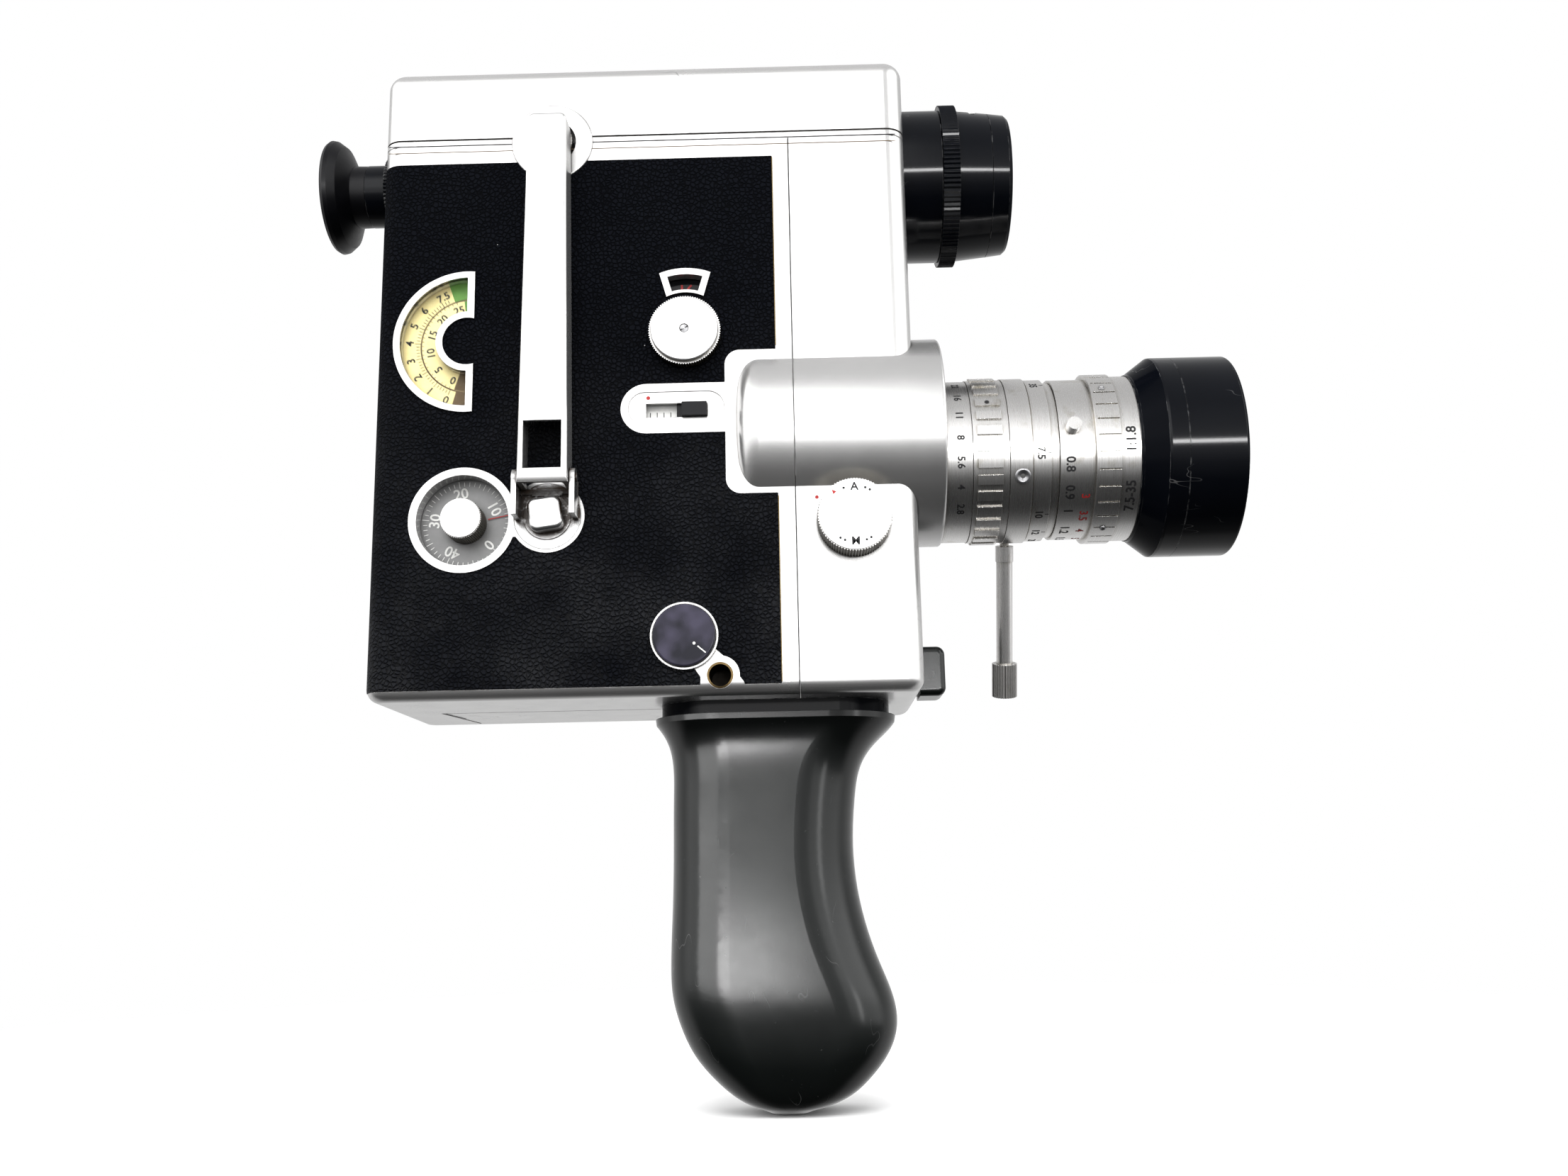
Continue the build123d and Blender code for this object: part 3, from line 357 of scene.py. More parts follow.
def smoked_enamel():
    """Glossy black enamel with a cloudy violet-grey haze."""
    g = Graph("smoked_enamel")
    haze = g.ramp(g.noise(7.0, 2.0), 0.38, 0.62)
    tone = g.mix(haze, (0.016, 0.016, 0.024, 1), (0.060, 0.055, 0.085, 1))
    tone = g.mix(g.flank(0.4, 0.8), tone, (0.10, 0.10, 0.10, 1))
    g.set(Base_Color=tone, Roughness=g.span(haze, 0.22, 0.34))
    g.feed(g.shader.inputs["Specular IOR Level"], 0.2)
    g.bump(g.noise(0.5, 3.0), 0.03, 0.03)
    return g.material


def black_plastic():
    """Glossy charcoal moulded plastic with handling scuffs."""
    g = Graph("black_plastic")
    base = g.mix(g.noise(25.0, 4.0), (0.004, 0.005, 0.0048, 1), (0.008, 0.010, 0.0095, 1))
    scuff = g.scratches(9.0, g.stretched((1.0, 1.0, 0.4)))
    base = g.mix(g.calc("MULTIPLY", scuff, 0.4), base, grey(0.22))
    dust = g.ramp(g.noise(1.1, 6.0), 0.70, 0.76)
    base = g.mix(g.calc("MULTIPLY", dust, 0.35), base, grey(0.16))
    g.set(Base_Color=base, Roughness=g.span(g.noise(6.0, 5.0), 0.14, 0.24))
    g.bump(g.noise(0.5, 3.0), 0.06, 0.05, 0.2)
    return g.material


def rubber():
    g = Graph("rubber")
    base = g.mix(g.noise(4.0, 5.0), (0.002, 0.002, 0.003, 1), (0.006, 0.006, 0.008, 1))
    g.set(Base_Color=base, Roughness=g.span(g.noise(1.5, 4.0), 0.26, 0.40))
    g.feed(g.shader.inputs["Specular IOR Level"], 0.3)
    g.bump(g.noise(0.4, 4.0), 0.12, 0.05)
    return g.material


def coated_glass():
    """Dark lens glass with a violet coating, with a lighter violet sheen painted in towards grazing angles.
    """
    g = Graph("coated_glass")
    facing = g.add("ShaderNodeLayerWeight")
    facing.inputs["Blend"].default_value = 0.35
    # painted reflection: the colour turns a lighter violet as the glass is seen more edge-on
    grazing_sheen_tint = g.mix(facing.outputs["Facing"], (0.05, 0.03, 0.12, 1), (0.30, 0.20, 0.42, 1))
    smear = g.noise(6.0, 5.0)
    g.set(Base_Color=grazing_sheen_tint, Roughness=g.span(smear, 0.02, 0.08), Metallic=0.0)
    g.feed(g.shader.inputs["Transmission Weight"], 0.55)
    g.feed(g.shader.inputs["Coat Weight"], 0.8)
    g.feed(g.shader.inputs["IOR"], 1.6)
    g.bump(smear, 0.01, 0.02)
    return g.material


def window_glass():
    """Thin clear cover over the counter, faintly yellowed."""
    g = Graph("window_glass")
    haze = g.noise(3.0, 4.0)
    g.set(Base_Color=g.mix(haze, (0.96, 0.95, 0.86, 1), (1, 1, 0.96, 1)), Roughness=g.span(haze, 0.02, 0.07))
    g.feed(g.shader.inputs["Transmission Weight"], 1.0)
    g.feed(g.shader.inputs["IOR"], 1.12)
    g.feed(g.shader.inputs["Alpha"], 0.35)
    g.bump(haze, 0.01, 0.02)
    return g.material


def scale_yellow():
    """Aged cream-yellow printed scale, browner towards its rims."""
    g = Graph("scale_yellow")
    cloud = g.noise(5.0, 6.0)
    colour = g.mix(cloud, (0.66, 0.56, 0.26, 1), (0.86, 0.78, 0.45, 1))
    colour = g.mix(g.calc("MULTIPLY", g.crevices(1.5), 0.7), colour, (0.30, 0.20, 0.07, 1))
    foxing = g.ramp(g.noise(1.3, 6.0), 0.64, 0.78)
    colour = g.mix(g.calc("MULTIPLY", foxing, 0.5), colour, (0.42, 0.32, 0.12, 1))
    g.set(Base_Color=colour, Roughness=g.span(cloud, 0.45, 0.6))
    g.bump(g.noise(0.3, 3.0), 0.05, 0.03)
    return g.material


def dial_grey():
    """Painted dial, brushed in a faint radial sweep."""
    g = Graph("dial_grey")
    cloud = g.noise(3.5, 5.0)
    colour = g.mix(cloud, grey(0.17), grey(0.27))
    colour = g.mix(g.calc("MULTIPLY", g.crevices(2.0), 0.8), colour, grey(0.06))
    g.set(Base_Color=colour, Metallic=0.3, Roughness=g.span(cloud, 0.35, 0.5))
    g.bump(g.noise(0.3, 3.0), 0.05, 0.03)
    return g.material


def works_metal(name, colour, roughness):
    """Brushed or machined metal of the parts inside."""
    g = Graph(name)
    brush = g.noise(0.3, 3.0, g.stretched((0.1, 1.0, 1.0)))
    tone = g.mix(g.noise(6.0, 4.0), tuple(0.8 * c for c in colour) + (1,), tuple(colour) + (1,))
    tone = g.mix(g.calc("MULTIPLY", g.crevices(1.5), 0.7), tone, (0.05, 0.04, 0.03, 1))
    g.set(Base_Color=tone, Metallic=0.9, Roughness=g.span(brush, roughness, roughness + 0.15))
    g.bump(brush, 0.06, 0.04, 0.1)
    return g.material


def ink(name, colour, roughness=0.5):
    """Printed or engraved-and-filled marking, slightly uneven."""
    g = Graph(name)
    wear = g.noise(0.9, 5.0)
    dark = tuple(0.75 * c for c in colour) + (1,)
    bright = tuple(colour) + (1,)
    g.set(Base_Color=g.mix(wear, dark, bright), Roughness=g.span(wear, roughness, roughness + 0.15))
    g.bump(wear, 0.04, 0.02)
    return g.material


def floor_material():
    """White paper that fades into the white background away from the object."""
    g = Graph("floor")
    tone = g.mix(g.noise(400.0, 3.0), grey(0.90), grey(0.93))
    g.set(Base_Color=tone, Roughness=0.85)
    g.feed(g.shader.inputs["Specular IOR Level"], 0.1)
    distance = g.add("ShaderNodeVectorMath")
    distance.operation = "LENGTH"
    g.tree.links.new(g.place, distance.inputs[0])
    fade = g.ramp(g.calc("MULTIPLY", distance.outputs["Value"], 0.5), 0.06, 0.20)
    glow = g.add("ShaderNodeEmission")
    blend = g.add("ShaderNodeMixShader")
    output = next(node for node in g.tree.nodes if node.type == "OUTPUT_MATERIAL")
    g.tree.links.new(fade, blend.inputs[0])
    g.tree.links.new(g.shader.outputs[0], blend.inputs[1])
    g.tree.links.new(glow.outputs[0], blend.inputs[2])
    g.tree.links.new(blend.outputs[0], output.inputs[0])
    return g.material


MATERIALS = {
    "silver_casing": silver_casing(),
    "satin_metal": turned_metal("satin_metal", 0.76, 0.27),
    "polished_metal": plated("polished_metal", 0.78, 0.20),
    "works_steel": works_metal("works_steel", (0.45, 0.45, 0.46), 0.30),
    "works_brass": works_metal("works_brass", (0.60, 0.44, 0.18), 0.30),
    "black_metal": black_metal("black_metal", 0.7),
    "black_plastic": black_plastic(),
    "leather": leather(),
    "rubber": rubber(),
    "clear_glass": coated_glass(),
    "scale_yellow": scale_yellow(),
    "dial_grey": dial_grey(),
}
KNOB_TOP = knob_metal()
NUT_METAL = nut_metal()
OLD_BRASS = old_brass()
BLACK_KNURL = black_metal("black_knurl", 0.06)
COVER_GLASS = window_glass()
BLACK_INK = ink("black_ink", (0.015, 0.015, 0.017))
WHITE_INK = ink("white_ink", (0.80, 0.80, 0.78))
RED_INK = ink("red_ink", (0.45, 0.03, 0.03))
GREEN_BAND = ink("green_band", (0.12, 0.30, 0.05), 0.4)
BROWN_BAND = ink("brown_band", (0.10, 0.06, 0.02), 0.4)
BRASS_TRIM = works_metal("brass_trim", (0.24, 0.18, 0.09), 0.40)

SPECIAL = {
    "footage_window": COVER_GLASS,
    "release_socket": OLD_BRASS,
    "film_speed_ring": BLACK_KNURL,
    "lock_knob": smoked_enamel(),
    "slide_tab": MATERIALS["rubber"],
}
for worn_node in ("crank_nut", "crank_clevis"):
    SPECIAL[worn_node] = NUT_METAL
for knob_node in ("speed_knob", "mode_knob", "counter_knob"):
    SPECIAL[knob_node] = KNOB_TOP
for casing_node in ("crank_arm", "knob_well", "counter_bezel", "footage_bezel", "speed_bezel"):
    SPECIAL[casing_node] = MATERIALS["silver_casing"]

for part in frame["record"]["subparts"]:
    node = frame["nodes"][part["node"]]
    chosen = SPECIAL.get(part["node"], MATERIALS[part["material_slot"]])
    for material_slot in node.material_slots:
        material_slot.material = chosen


# ------------------------------------------------------------------ mesh helpers

def add_piece(name, verts, faces, material, body, smooth=False):
    """Makes a mesh piece from millimetre vertices and attaches it to a body."""
    mesh = bpy.data.meshes.new(name)
    mesh.from_pydata([tuple(c * MM for c in v) for v in verts], [], faces)
    mesh.materials.append(material)
    for polygon in mesh.polygons:
        polygon.use_smooth = smooth
    piece = bpy.data.objects.new(name, mesh)
    bpy.context.scene.collection.objects.link(piece)
    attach(piece, body)
    return piece


def glyphs(text, size):
    """Flat letter shapes centred on the origin, as (points, faces) in mm."""
    curve = bpy.data.curves.new("glyphs", "FONT")
    curve.body = text
    curve.size = size
    curve.align_x = "CENTER"
    curve.align_y = "CENTER"
    curve.resolution_u = 3
    curve.offset = 0.018 * size
    temporary = bpy.data.objects.new("glyphs", curve)
    bpy.context.scene.collection.objects.link(temporary)
    bpy.context.view_layer.update()
    mesh = temporary.to_mesh()
    points = [(v.co.x, v.co.y) for v in mesh.vertices]
    faces = [tuple(p.vertices) for p in mesh.polygons]
    temporary.to_mesh_clear()
    bpy.data.objects.remove(temporary)
    bpy.data.curves.remove(curve)
    return points, faces


def bar(length, width):
    """Small rectangle centred on the origin, long in y."""
    a, b = width / 2, length / 2
    return [(-a, -b), (a, -b), (a, b), (-a, b)], [(0, 1, 2, 3)]


def dot(radius, sides=16):
    """Flat disc centred on the origin."""
    turns = [2 * math.pi * i / sides for i in range(sides)]
    return [(radius * math.cos(turn), radius * math.sin(turn)) for turn in turns], [tuple(range(sides))]


class Print:
    """Collects flat marks and writes them as one thin piece."""

    def __init__(self):
        self.verts = []
        self.faces = []

    def put(self, shape, place):
        points, faces = shape
        start = len(self.verts)
        self.verts += [place(u, v) for u, v in points]
        self.faces += [tuple(start + i for i in face) for face in faces]

    def on_dial(self, shape, centre, radius, angle, y, turn=0.0):
        """Marks on a face seen from the crank side; up in the mark points outward."""
        a = math.radians(angle)
        t = math.radians(angle - 90 + turn)
        cx = centre[0] + radius * math.cos(a)
        cz = centre[1] + radius * math.sin(a)
        self.put(shape, lambda u, v: (cx + u * math.cos(t) - v * math.sin(t), y,
                                      cz + u * math.sin(t) + v * math.cos(t)))

    def on_barrel(self, shape, x, angle, radius, axis, reading=-1):
        """Marks round a barrel about X. angle 0 faces the crank side, 90 is up.
        reading -1 runs downwards with tops towards the front, 1 the other way."""
        a0 = math.radians(angle)

        def place(u, v):
            a = a0 + reading * u / radius
            return (x - reading * v, axis[0] - radius * math.cos(a), axis[1] + radius * math.sin(a))
        self.put(shape, place)

    def make(self, name, material, body):
        return add_piece(name, self.verts, self.faces, material, body)


def arc_band(centre, inner, outer, start, end, y, steps=24):
    """Flat ring sector on a face seen from the crank side."""
    verts, faces = [], []
    for i in range(steps + 1):
        a = math.radians(start + (end - start) * i / steps)
        for radius in (inner, outer):
            verts.append((centre[0] + radius * math.cos(a), y, centre[1] + radius * math.sin(a)))
    for i in range(steps):
        faces.append((2 * i, 2 * i + 1, 2 * i + 3, 2 * i + 2))
    return verts, faces


# ------------------------------------------------------------------ counters

def footage_scale():
    """Metre and feet scales printed on the stepped counter disc."""
    face_y = -24.33
    zero_metres, per_metre = 248, 17.9      # degrees
    zero_feet, per_foot = 246, 5.55
    marks = Print()
    for fifth in range(0, 38):
        length = 1.5 if fifth % 5 == 0 else 0.8
        marks.on_dial(bar(length, 0.15), FOOTAGE, 12.4, zero_metres - per_metre * fifth / 5, face_y)
    for metre in range(7):
        marks.on_dial(glyphs(str(metre), 2.7), FOOTAGE, 14.3, zero_metres - per_metre * metre, face_y)
    marks.on_dial(glyphs("7.5", 2.6), FOOTAGE, 14.0, zero_metres - per_metre * 7.25, face_y)
    for feet in range(0, 26, 5):
        marks.on_dial(glyphs(str(feet), 2.6), FOOTAGE, 9.3, zero_feet - per_foot * feet, face_y)
    for feet in range(0, 26):
        marks.on_dial(bar(0.5, 0.12), FOOTAGE, 11.2, zero_feet - per_foot * feet, face_y)
    marks.make("footage_numbers", BLACK_INK, "footage_counter")

    outer, inner = (11.8, 16.5), (7.0, 11.4)      # radii of the two coloured rows
    for name, radii, start, end, material in (
            ("footage_full_band", outer, 74, 109, GREEN_BAND),
            ("footage_full_band_feet", inner, 74, 98, GREEN_BAND),
            ("footage_end_band", outer, 255, 290, BROWN_BAND),
            ("footage_end_band_feet", inner, 252, 290, BROWN_BAND)):
        verts, faces = arc_band(FOOTAGE, radii[0], radii[1], start, end, face_y + 0.02)
        add_piece(name, verts, faces, material, "footage_counter")
    # painted shade: a brown line along the step of the disc, where its edge throws shade
    verts, faces = arc_band(FOOTAGE, 11.45, 11.8, 80, 282, face_y, 60)
    add_piece("footage_step_shade", verts, faces, BROWN_BAND, "footage_counter")


def frame_scale():
    """Fifty-part frame counter dial with its red index line."""
    face_y = -23.04
    zero = -43                              # degrees
    frames = 50
    per_frame = 360 / frames
    marks = Print()
    for i in range(frames):
        length = 1.6 if i % 5 == 0 else 1.0
        marks.on_dial(bar(length, 0.16), COUNTER, 9.6, zero + per_frame * i, face_y)
    for number in range(0, frames, 10):
        marks.on_dial(glyphs(str(number), 3.5), COUNTER, 7.3, zero + per_frame * number, face_y)
    marks.make("frame_numbers", WHITE_INK, "frame_counter")
    index = Print()
    index.on_dial(bar(5.4, 0.22), COUNTER, 7.9, 11, -23.3)
    index.make("frame_index", RED_INK, "camera_body")


# ------------------------------------------------------------------ marks on the controls

def one_mark(name, shape, centre, radius, angle, y, material, body):
    """A piece made of a single flat mark."""
    mark = Print()
    mark.on_dial(shape, centre, radius, angle, y)
    mark.make(name, material, body)


def speed_marks():
    """Frame rates on the disc behind the speed knob's window."""
    figures = Print()
    for text, angle in (("8", 125), ("16", 90), ("24", 55), ("32", 20), ("48", -15)):
        figures.on_dial(glyphs(text, 3.8), SPEED, 12.0, angle, -24.45)
    figures.make("speed_figures", RED_INK, "speed_selector")


def slide_marks():
    """White scale plate behind the slide switch, its strokes and the red dot above it."""
    one_mark("slide_dot", dot(0.45), (-27.5, 69.9), 0, 90, SIDE_Y + 0.15, RED_INK,
             "camera_body")
    plate_y, plate_thickness = SIDE_Y + 2.1, 0.2
    left, right, low, high = -29.9, -12.0, 64.0, 69.6
    corners = ((left, low), (right, low), (right, high), (left, high))
    verts = [(x, y, z) for y in (plate_y, plate_y + plate_thickness) for x, z in corners]
    faces = [(0, 1, 2, 3), (7, 6, 5, 4), (0, 4, 5, 1), (1, 5, 6, 2), (2, 6, 7, 3), (3, 7, 4, 0)]
    add_piece("slide_plate", verts, faces, WHITE_INK, "camera_body")
    strokes = Print()
    for i in range(5):
        strokes.on_dial(bar(1.2, 0.18), (-27.2 + 1.6 * i, 66.3), 0, 90, plate_y - 0.02)
    strokes.make("slide_marks", BLACK_INK, "camera_body")


def mode_marks():
    """Two letters, dots and a red pointer on the mode knob, and its index on the casing."""
    one_mark("mode_index", dot(0.42), (11.3, 45.0), 0, 90, SIDE_Y - 0.02, RED_INK,
             "camera_body")
    cap_y = SIDE_Y - 6.63
    letters = Print()
    letters.on_dial(glyphs("A", 2.6), MODE, 6.3, 90, cap_y)
    letters.on_dial(glyphs("M", 2.6), MODE, 6.3, -90, cap_y, 180)
    for angle in (58, 68, 112, -58, -68, -112, -122):
        letters.on_dial(dot(0.28), MODE, 6.5, angle, cap_y)
    letters.make("mode_letters", BLACK_INK, "mode_selector")
    arrow = [(-0.5, -0.4), (0.5, -0.4), (0, 0.6)], [(0, 1, 2)]
    one_mark("mode_pointer", arrow, MODE, 7.0, 132, cap_y, RED_INK, "mode_selector")


def lock_marks():
    """Plain white index line and dot on the lock knob."""
    cap_y, angle = SIDE_Y - 1.93, -40
    lock = Print()
    lock.on_dial(bar(2.4, 0.3), LOCK, 5.2, angle, cap_y)
    lock.on_dial(dot(0.35), LOCK, 3.0, angle, cap_y)
    lock.make("lock_mark", WHITE_INK, "lock_selector")


# ------------------------------------------------------------------ marks on the barrels

LIFT = 0.03                   # height of a printed mark above its ring


def ring_scale(name, figures, size, x, radius, body, material, reading=-1, tick=None):
    """Figures round the lens at their angles, with a tick (length, width, x) each where given."""
    marks = Print()
    for text, angle in figures:
        marks.on_barrel(glyphs(text, size), x, angle, radius + LIFT, LENS_AXIS, reading)
        if tick:
            marks.on_barrel(bar(tick[0], tick[1]), tick[2], angle, radius + LIFT, LENS_AXIS)
    marks.make(name, material, body)


def lens_marks():
    """Scales round the lens: fixed barrel, iris, zoom, focus and front rings."""
    apertures = [(text, 52 - 17 * i) for i, text in enumerate(("22", "16", "11", "8", "5.6", "4", "2.8"))]
    lengths = (("7.5", -11), ("10", -56), ("12", -76), ("20", -95), ("30", -114), ("35", 50))
    metres = (("0.8", -19), ("0.9", -39), ("1", -54), ("1.2", -75), ("1.5", -94), ("2", -112))
    feet = (("3", -42), ("3.5", -59), ("4", -76), ("5", -94), ("7", -112))
    front = (("1:1.8", -3), ("7.5-35", -42))
    ring_scale("aperture_numbers", apertures, 2.4, 44.9, 19.6, "camera_body", BLACK_INK)
    iris = Print()
    iris.on_barrel(dot(0.55), 51.6, 27.5, 20.25 + LIFT, LENS_AXIS)
    iris.make("iris_index", BLACK_INK, "iris")
    ring_scale("zoom_numbers", lengths, 2.5, 63.4, 19.6, "zoom", BLACK_INK, tick=(0.9, 0.15, 65.3))
    ring_scale("focus_metres", metres, 3.0, 70.2, 19.4, "focus", BLACK_INK)
    ring_scale("focus_feet", feet, 2.7, 73.9, 19.4, "focus", RED_INK)
    ring_scale("front_figures", front, 3.2, 84.3, 20.0, "focus", BLACK_INK, reading=1)


def meter_marks():
    """Film speeds round the meter barrel, with their index."""
    meter = Print()
    for i, text in enumerate(("10", "20", "40", "80", "160")):
        angle = 130 - 19 * i
        meter.on_barrel(glyphs(text, 2.2), 53.2, angle, 18.5 + LIFT, METER_AXIS)
        meter.on_barrel(bar(0.9, 0.2), 50.2, angle, 18.8 + LIFT, METER_AXIS)
    meter.make("film_speed_numbers", WHITE_INK, "film_speed")
    index = Print()
    index.on_barrel(bar(2.2, 0.3), 42.8, 92, 19.1 + LIFT, METER_AXIS)
    index.make("film_speed_index", WHITE_INK, "camera_body")


# ------------------------------------------------------------------ screws, trim and window

def lathe_faces(rings, steps):
    """Quads between neighbouring rings of a turned shape."""
    faces = []
    for ring in range(rings - 1):
        for i in range(steps):
            j = (i + 1) % steps
            faces.append((ring * steps + i, ring * steps + j, (ring + 1) * steps + j, (ring + 1) * steps + i))
    return faces


def screw(name, centre, face_y, radius, body, material, slot_angle=30):
    """Slotted screw head on a face seen from the crank side."""
    steps = 24
    slot_depth, slot_half_width = 0.2, radius * 0.14
    rings = ((radius, 0.0), (radius * 0.92, 0.22), (0.0, 0.25))      # radius, height
    verts = []
    for ring_radius, height in rings:
        for i in range(steps):
            a = 2 * math.pi * i / steps
            in_slot = abs(math.sin(a - math.radians(slot_angle))) * ring_radius < slot_half_width
            sink = slot_depth if in_slot and ring_radius < radius else 0.0
            verts.append((centre[0] + ring_radius * math.cos(a), face_y - height + sink,
                          centre[1] + ring_radius * math.sin(a)))
    add_piece(name, verts, lathe_faces(len(rings), steps), material, body)


def barrel_screw(name, x, angle, radius, size, body):
    """Cup-headed grub screw in a lens ring: a raised collar with a dark socket."""
    steps = 28
    collar = ((size, 0.0), (size * 0.95, 0.28), (size * 0.62, 0.30), (size * 0.55, 0.02))
    socket = ((size * 0.30, 0.0), (size * 0.26, -0.3), (0.02, -0.32))
    profile = collar + socket                                        # radius, height
    verts = []
    for distance, height in profile:
        for i in range(steps):
            t = 2 * math.pi * i / steps
            a = math.radians(angle) + distance * math.sin(t) / radius
            r = radius + height
            verts.append((x + distance * math.cos(t), LENS_AXIS[0] - r * math.cos(a),
                          LENS_AXIS[1] + r * math.sin(a)))
    add_piece(name, verts, lathe_faces(len(profile), steps), MATERIALS["works_steel"], body,
              True)


def lens_screws():
    barrel_screw("zoom_stop_screw", 59.1, -26, 20.02, 1.9, "zoom")
    for i, angle in enumerate((38, -68, 155)):
        barrel_screw("grip_ring_screw_%d" % i, 78.9, angle, 20.57, 0.75, "focus")


def leather_trim():
    """Thin brass line between the leather and the front border."""
    rear, front = 2.4, 2.58
    proud, sunk = SIDE_Y - 0.12, SIDE_Y + 0.05
    verts, faces = [], []
    for low, high in ((2.6, 45.6), (82.2, 130.2)):
        start = len(verts)
        verts += [(x, y, z) for x in (rear, front) for z in (low, high) for y in (proud, sunk)]
        for face in ((0, 2, 6, 4), (0, 4, 5, 1), (2, 3, 7, 6), (0, 1, 3, 2), (4, 6, 7, 5)):
            faces.append(tuple(start + corner for corner in face))
    add_piece("leather_trim", verts, faces, BRASS_TRIM, "camera_body")


def seam_lines():
    """Dark lines painted along the joints between the castings as the shade in their gaps, on the crank side
    and underneath.
    """
    proud = 0.02
    # painted shade: dark strips along the grooves between the castings
    for name, shape, centre, material in (
            ("front_seam_shade", bar(134.0, 0.22), (6.4, 68.0), BLACK_INK),
            ("top_seam_shade", bar(0.26, 123.0), (-29.0, 135.4), BLACK_INK),
            ("top_seam_edge", bar(0.2, 123.0), (-29.0, 133.7), BROWN_BAND)):
        one_mark(name, shape, centre, 0, 90, SIDE_Y - proud, material, "camera_body")

    rear, front, middle, width = -80.3, -5.2, -1.45, 0.35
    far_side, slant = 12.0, 2.5
    corner = (rear + 0.5, middle + width)
    along = ((rear, middle), (front, middle), (front, middle + width), corner)
    across = ((rear, middle), corner, (rear + slant + 0.4, far_side), (rear + slant, far_side))
    # painted shade along the gap round the base flap
    flap = Print()
    for outline in (along, across):
        flap.put((outline, [(0, 1, 2, 3)]), lambda x, y: (x, y, -proud))
    flap.make("flap_seam_shade", BLACK_INK, "camera_body")


def honeycomb_window():
    """Raised lenslets over the front of the meter window."""
    pitch, window_radius, sides = 3.0, 11.6, 12
    base_x, top = 58.7, 0.85
    rings = ((1.45, 0.0), (1.1, 0.45), (0.55, 0.75))                 # radius, height
    lenslet = lathe_faces(len(rings), sides)
    last_ring, tip = sides * (len(rings) - 1), sides * len(rings)
    lenslet += [(last_ring + i, last_ring + (i + 1) % sides, tip) for i in range(sides)]
    verts, faces = [], []
    for row in range(-4, 5):
        for column in range(-5, 6):
            cy = pitch * (column + 0.5 * (row % 2))
            cz = METER_AXIS[1] + pitch * 0.866 * row
            if math.hypot(cy, cz - METER_AXIS[1]) > window_radius:
                continue
            start = len(verts)
            for radius, height in rings:
                for i in range(sides):
                    a = 2 * math.pi * i / sides
                    verts.append((base_x + height, cy + radius * math.cos(a), cz + radius * math.sin(a)))
            verts.append((base_x + top, cy, cz))
            faces += [tuple(start + i for i in face) for face in lenslet]
    add_piece("meter_lenslets", verts, faces, MATERIALS["clear_glass"], "camera_body", True)


footage_scale()
frame_scale()
speed_marks()
slide_marks()
mode_marks()
lock_marks()
lens_marks()
meter_marks()
screw("speed_screw", SPEED, SIDE_Y - 3.62, 1.05, "speed_selector", MATERIALS["works_steel"])
lens_screws()
leather_trim()
seam_lines()
honeycomb_window()


# ------------------------------------------------------------------ stage, light and camera

def make_floor():
    """Paper floor just under the grip; it isn't seen in reflections, which come from the world."""
    bottom = cad_box[0].z - 0.0004
    half = 3.0
    corners = ((-half, -half), (half, -half), (half, half), (-half, half))
    mesh = bpy.data.meshes.new("floor")
    mesh.from_pydata([(x, y, bottom) for x, y in corners], [], [(0, 1, 2, 3)])
    mesh.materials.append(floor_material())
    floor = bpy.data.objects.new("floor", mesh)
    bpy.context.scene.collection.objects.link(floor)
    floor.visible_glossy = False
    floor.visible_diffuse = False


def area_light(name, place, aim, size, power, diffuse=True, glossy=True, only=(), never=()):
    """Rectangular lamp; only or never name the CAD nodes it lights or leaves out."""
    data = bpy.data.lights.new(name, "AREA")
    data.shape = "RECTANGLE"
    data.size, data.size_y = size
    data.energy = power
    lamp = bpy.data.objects.new(name, data)
    lamp.location = place
    direction = Vector(aim) - Vector(place)
    lamp.rotation_euler = direction.to_track_quat("-Z", "Y").to_euler()
    lamp.visible_diffuse = diffuse
    lamp.visible_glossy = glossy
    bpy.context.scene.collection.objects.link(lamp)
    if only or never:
        receivers = bpy.data.collections.new(name + "_receivers")
        for node in only or never:
            receivers.objects.link(frame["nodes"][node])
        for entry in receivers.collection_objects:
            entry.light_linking.link_state = "INCLUDE" if only else "EXCLUDE"
        lamp.light_linking.receiver_collection = receivers


# Brightness seen in reflections, by the sine of the height above the horizon. None is above BRIGHTEST.
BRIGHTEST = 3.0
FRONT_LIGHT = ((-1.0, 0.03), (-0.64, 0.03), (-0.36, 0.25), (-0.22, 0.5), (-0.10, 1.7), (0.08, 1.9),
               (0.15, 2.3), (0.24, 2.8), (0.62, 2.6), (0.85, 0.7), (1.0, 0.55))
LENS_LIGHT = ((-1.0, 0.03), (-0.64, 0.03), (-0.36, 0.30), (-0.16, 0.8), (0.0, 1.0), (0.11, 1.3),
              (0.34, 0.95), (0.7, 0.58), (1.0, 0.55))
REAR_LIGHT = ((-1.0, 0.10), (-0.9, 0.16), (-0.84, 0.45), (-0.45, 0.8), (0.0, 0.9), (0.1, 0.8), (1.0, 0.55))


# How far each light counts, by the X or the Y of the direction: 0 not at all, BRIGHTEST fully.
LENS_SPAN = ((0.05, 0.0), (0.09, BRIGHTEST), (0.42, BRIGHTEST), (0.5, 0.0))
REAR_SPAN = ((-0.05, 0.0), (0.25, BRIGHTEST))


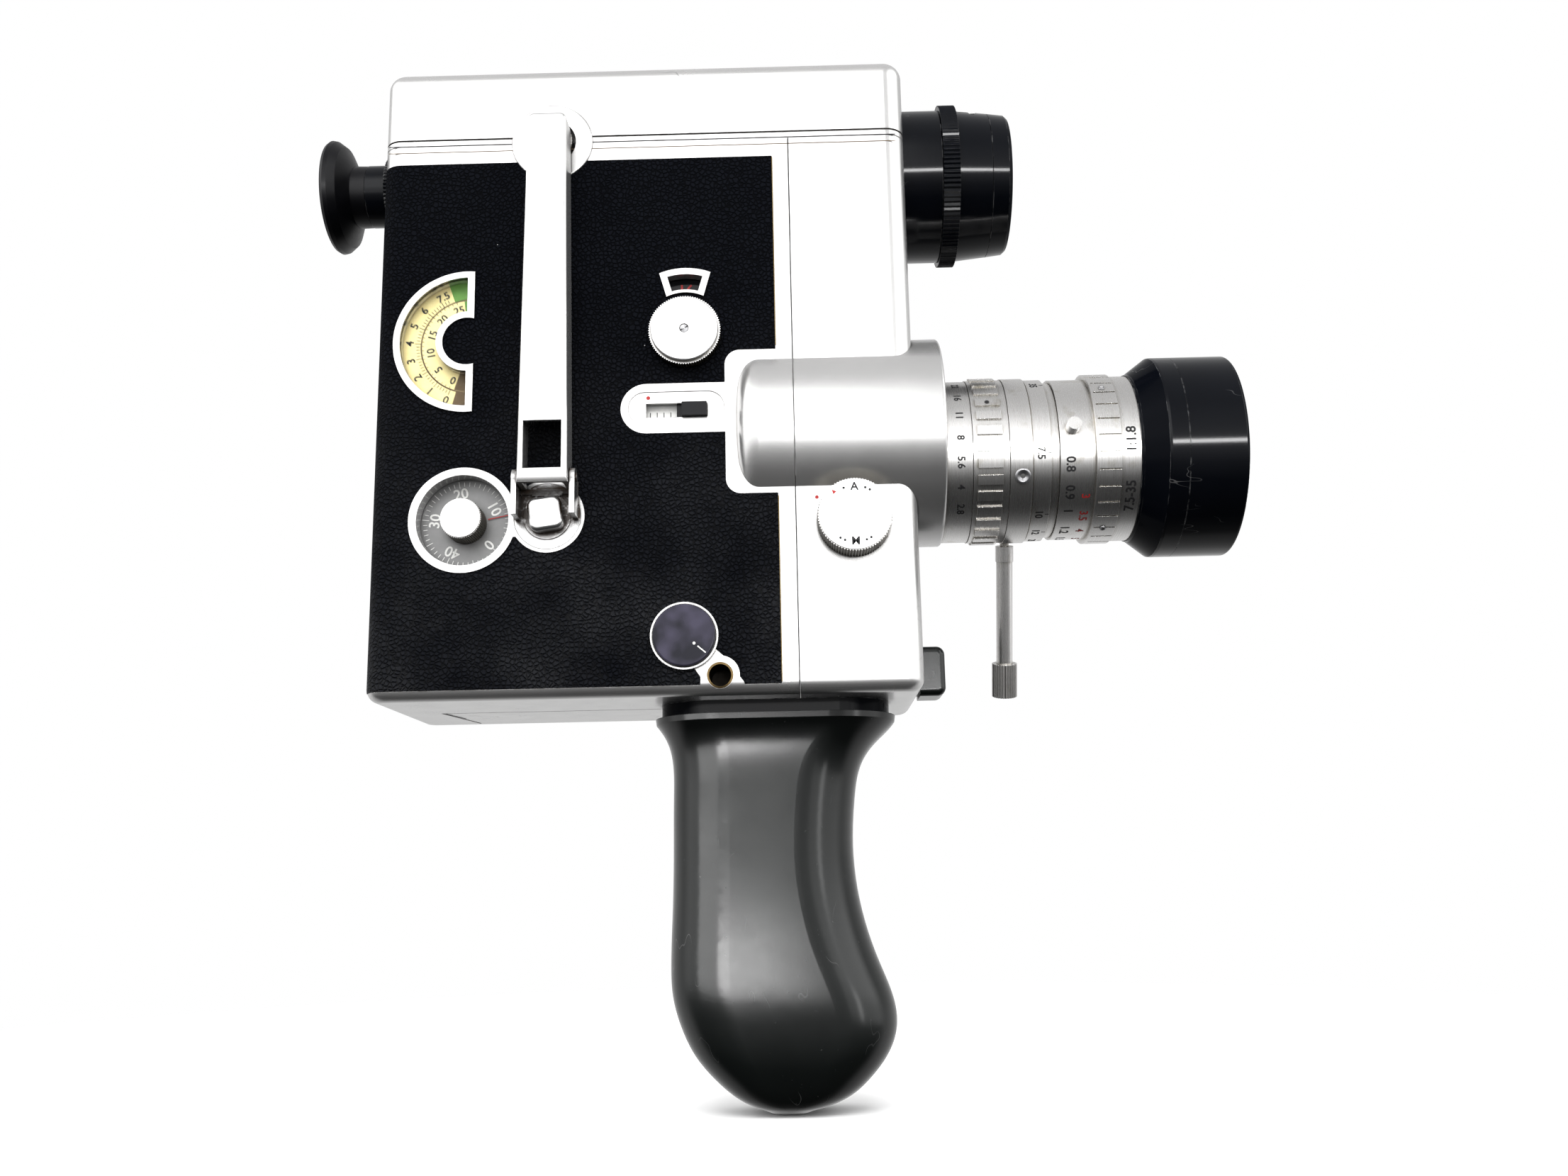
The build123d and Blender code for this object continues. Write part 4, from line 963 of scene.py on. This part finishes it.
def make_world():
    """White backdrop for the camera; reflections see a softly lit room, dark below."""
    world = bpy.data.worlds.new("studio")
    bpy.context.scene.world = world
    world.use_nodes = True
    tree = world.node_tree
    tree.nodes.clear()
    add = tree.nodes.new
    link = tree.links.new
    out = add("ShaderNodeOutputWorld")
    mixer = add("ShaderNodeMixShader")
    path = add("ShaderNodeLightPath")
    plain = add("ShaderNodeBackground")
    plain.inputs["Strength"].default_value = 1.0
    plain.inputs["Color"].default_value = (1.0, 1.0, 1.0, 1)
    studio = add("ShaderNodeBackground")
    coords = add("ShaderNodeTexCoord")
    split = add("ShaderNodeSeparateXYZ")
    link(coords.outputs["Generated"], split.inputs[0])

    def shade(axis, stops):
        """Grey level along one axis of the direction, from -1 to 1."""
        position = add("ShaderNodeMapRange")
        position.inputs["From Min"].default_value = -1.0
        position.inputs["From Max"].default_value = 1.0
        link(split.outputs[axis], position.inputs["Value"])
        ramp = add("ShaderNodeValToRGB")
        elements = ramp.color_ramp.elements
        while len(elements) < len(stops):
            elements.new(0.5)
        for element, (along, value) in zip(elements, stops):
            element.position = (along + 1) / 2
            element.color = (value / BRIGHTEST, value / BRIGHTEST, value / BRIGHTEST, 1)
        link(position.outputs[0], ramp.inputs[0])
        return ramp.outputs[0]

    def blended(fac, a, b):
        blend = add("ShaderNodeMix")
        blend.data_type = "RGBA"
        link(fac, blend.inputs["Factor"])
        link(a, blend.inputs[6])
        link(b, blend.inputs[7])
        return blend.outputs[2]

    front = blended(shade("X", LENS_SPAN), shade("Z", FRONT_LIGHT), shade("Z", LENS_LIGHT))
    link(blended(shade("Y", REAR_SPAN), front, shade("Z", REAR_LIGHT)), studio.inputs["Color"])
    studio.inputs["Strength"].default_value = BRIGHTEST
    link(path.outputs["Is Camera Ray"], mixer.inputs[0])
    link(studio.outputs[0], mixer.inputs[1])
    link(plain.outputs[0], mixer.inputs[2])
    link(mixer.outputs[0], out.inputs[0])


def make_camera():
    """Viewing angle of the photograph: slightly in front of the grip, low, looking up."""
    right = Vector((0.99966, 0.01666, -0.02003)).normalized()
    view = Vector((-0.0123, 0.9799, 0.1993)).normalized()
    up = right.cross(view).normalized()
    right = view.cross(up).normalized()
    place = Vector((0.00727, -0.342, -0.0402))
    data = bpy.data.cameras.new("camera")
    data.lens = 32.55
    data.sensor_width = 36.0
    data.clip_start = 0.01
    camera = bpy.data.objects.new("camera", data)
    camera.matrix_world = Matrix(((right.x, up.x, -view.x, place.x),
                                  (right.y, up.y, -view.y, place.y),
                                  (right.z, up.z, -view.z, place.z),
                                  (0, 0, 0, 1)))
    bpy.context.scene.collection.objects.link(camera)
    bpy.context.scene.camera = camera


def make_lamps():
    """Two soft lamps for the whole object, and lamps seen only as highlights on some of it."""
    grip = ("grip", "grip_plate")
    area_light("key", (0.0, -0.75, 0.75), (0, 0, 0.05), (0.8, 0.5), 9.0, glossy=False)
    area_light("top", (-0.1, 0.2, 0.9), (0, 0, 0.0), (1.0, 1.0), 5.0, glossy=False)
    area_light("lens_band", (0.55, -2.35, 0.136), (0.065, -0.03, 0.136), (0.95, 0.156), 16.5,
               diffuse=False, never=grip)
    for name, place, size, power in (
            ("grip_left", (-0.42, -0.42, -0.066), (0.42, 0.17), 0.9),
            ("grip_glint", (-0.14, -0.615, -0.09), (0.27, 0.09), 1.3),
            ("grip_right", (0.46, -0.40, -0.06), (0.08, 0.20), 0.15)):
        area_light(name, place, (0, 0, place[2]), size, power, diffuse=False, only=grip)


make_floor()
make_world()
make_lamps()
make_camera()
bpy.context.scene.view_settings.view_transform = "Standard"
bpy.context.scene.view_settings.gamma = 0.88

import json
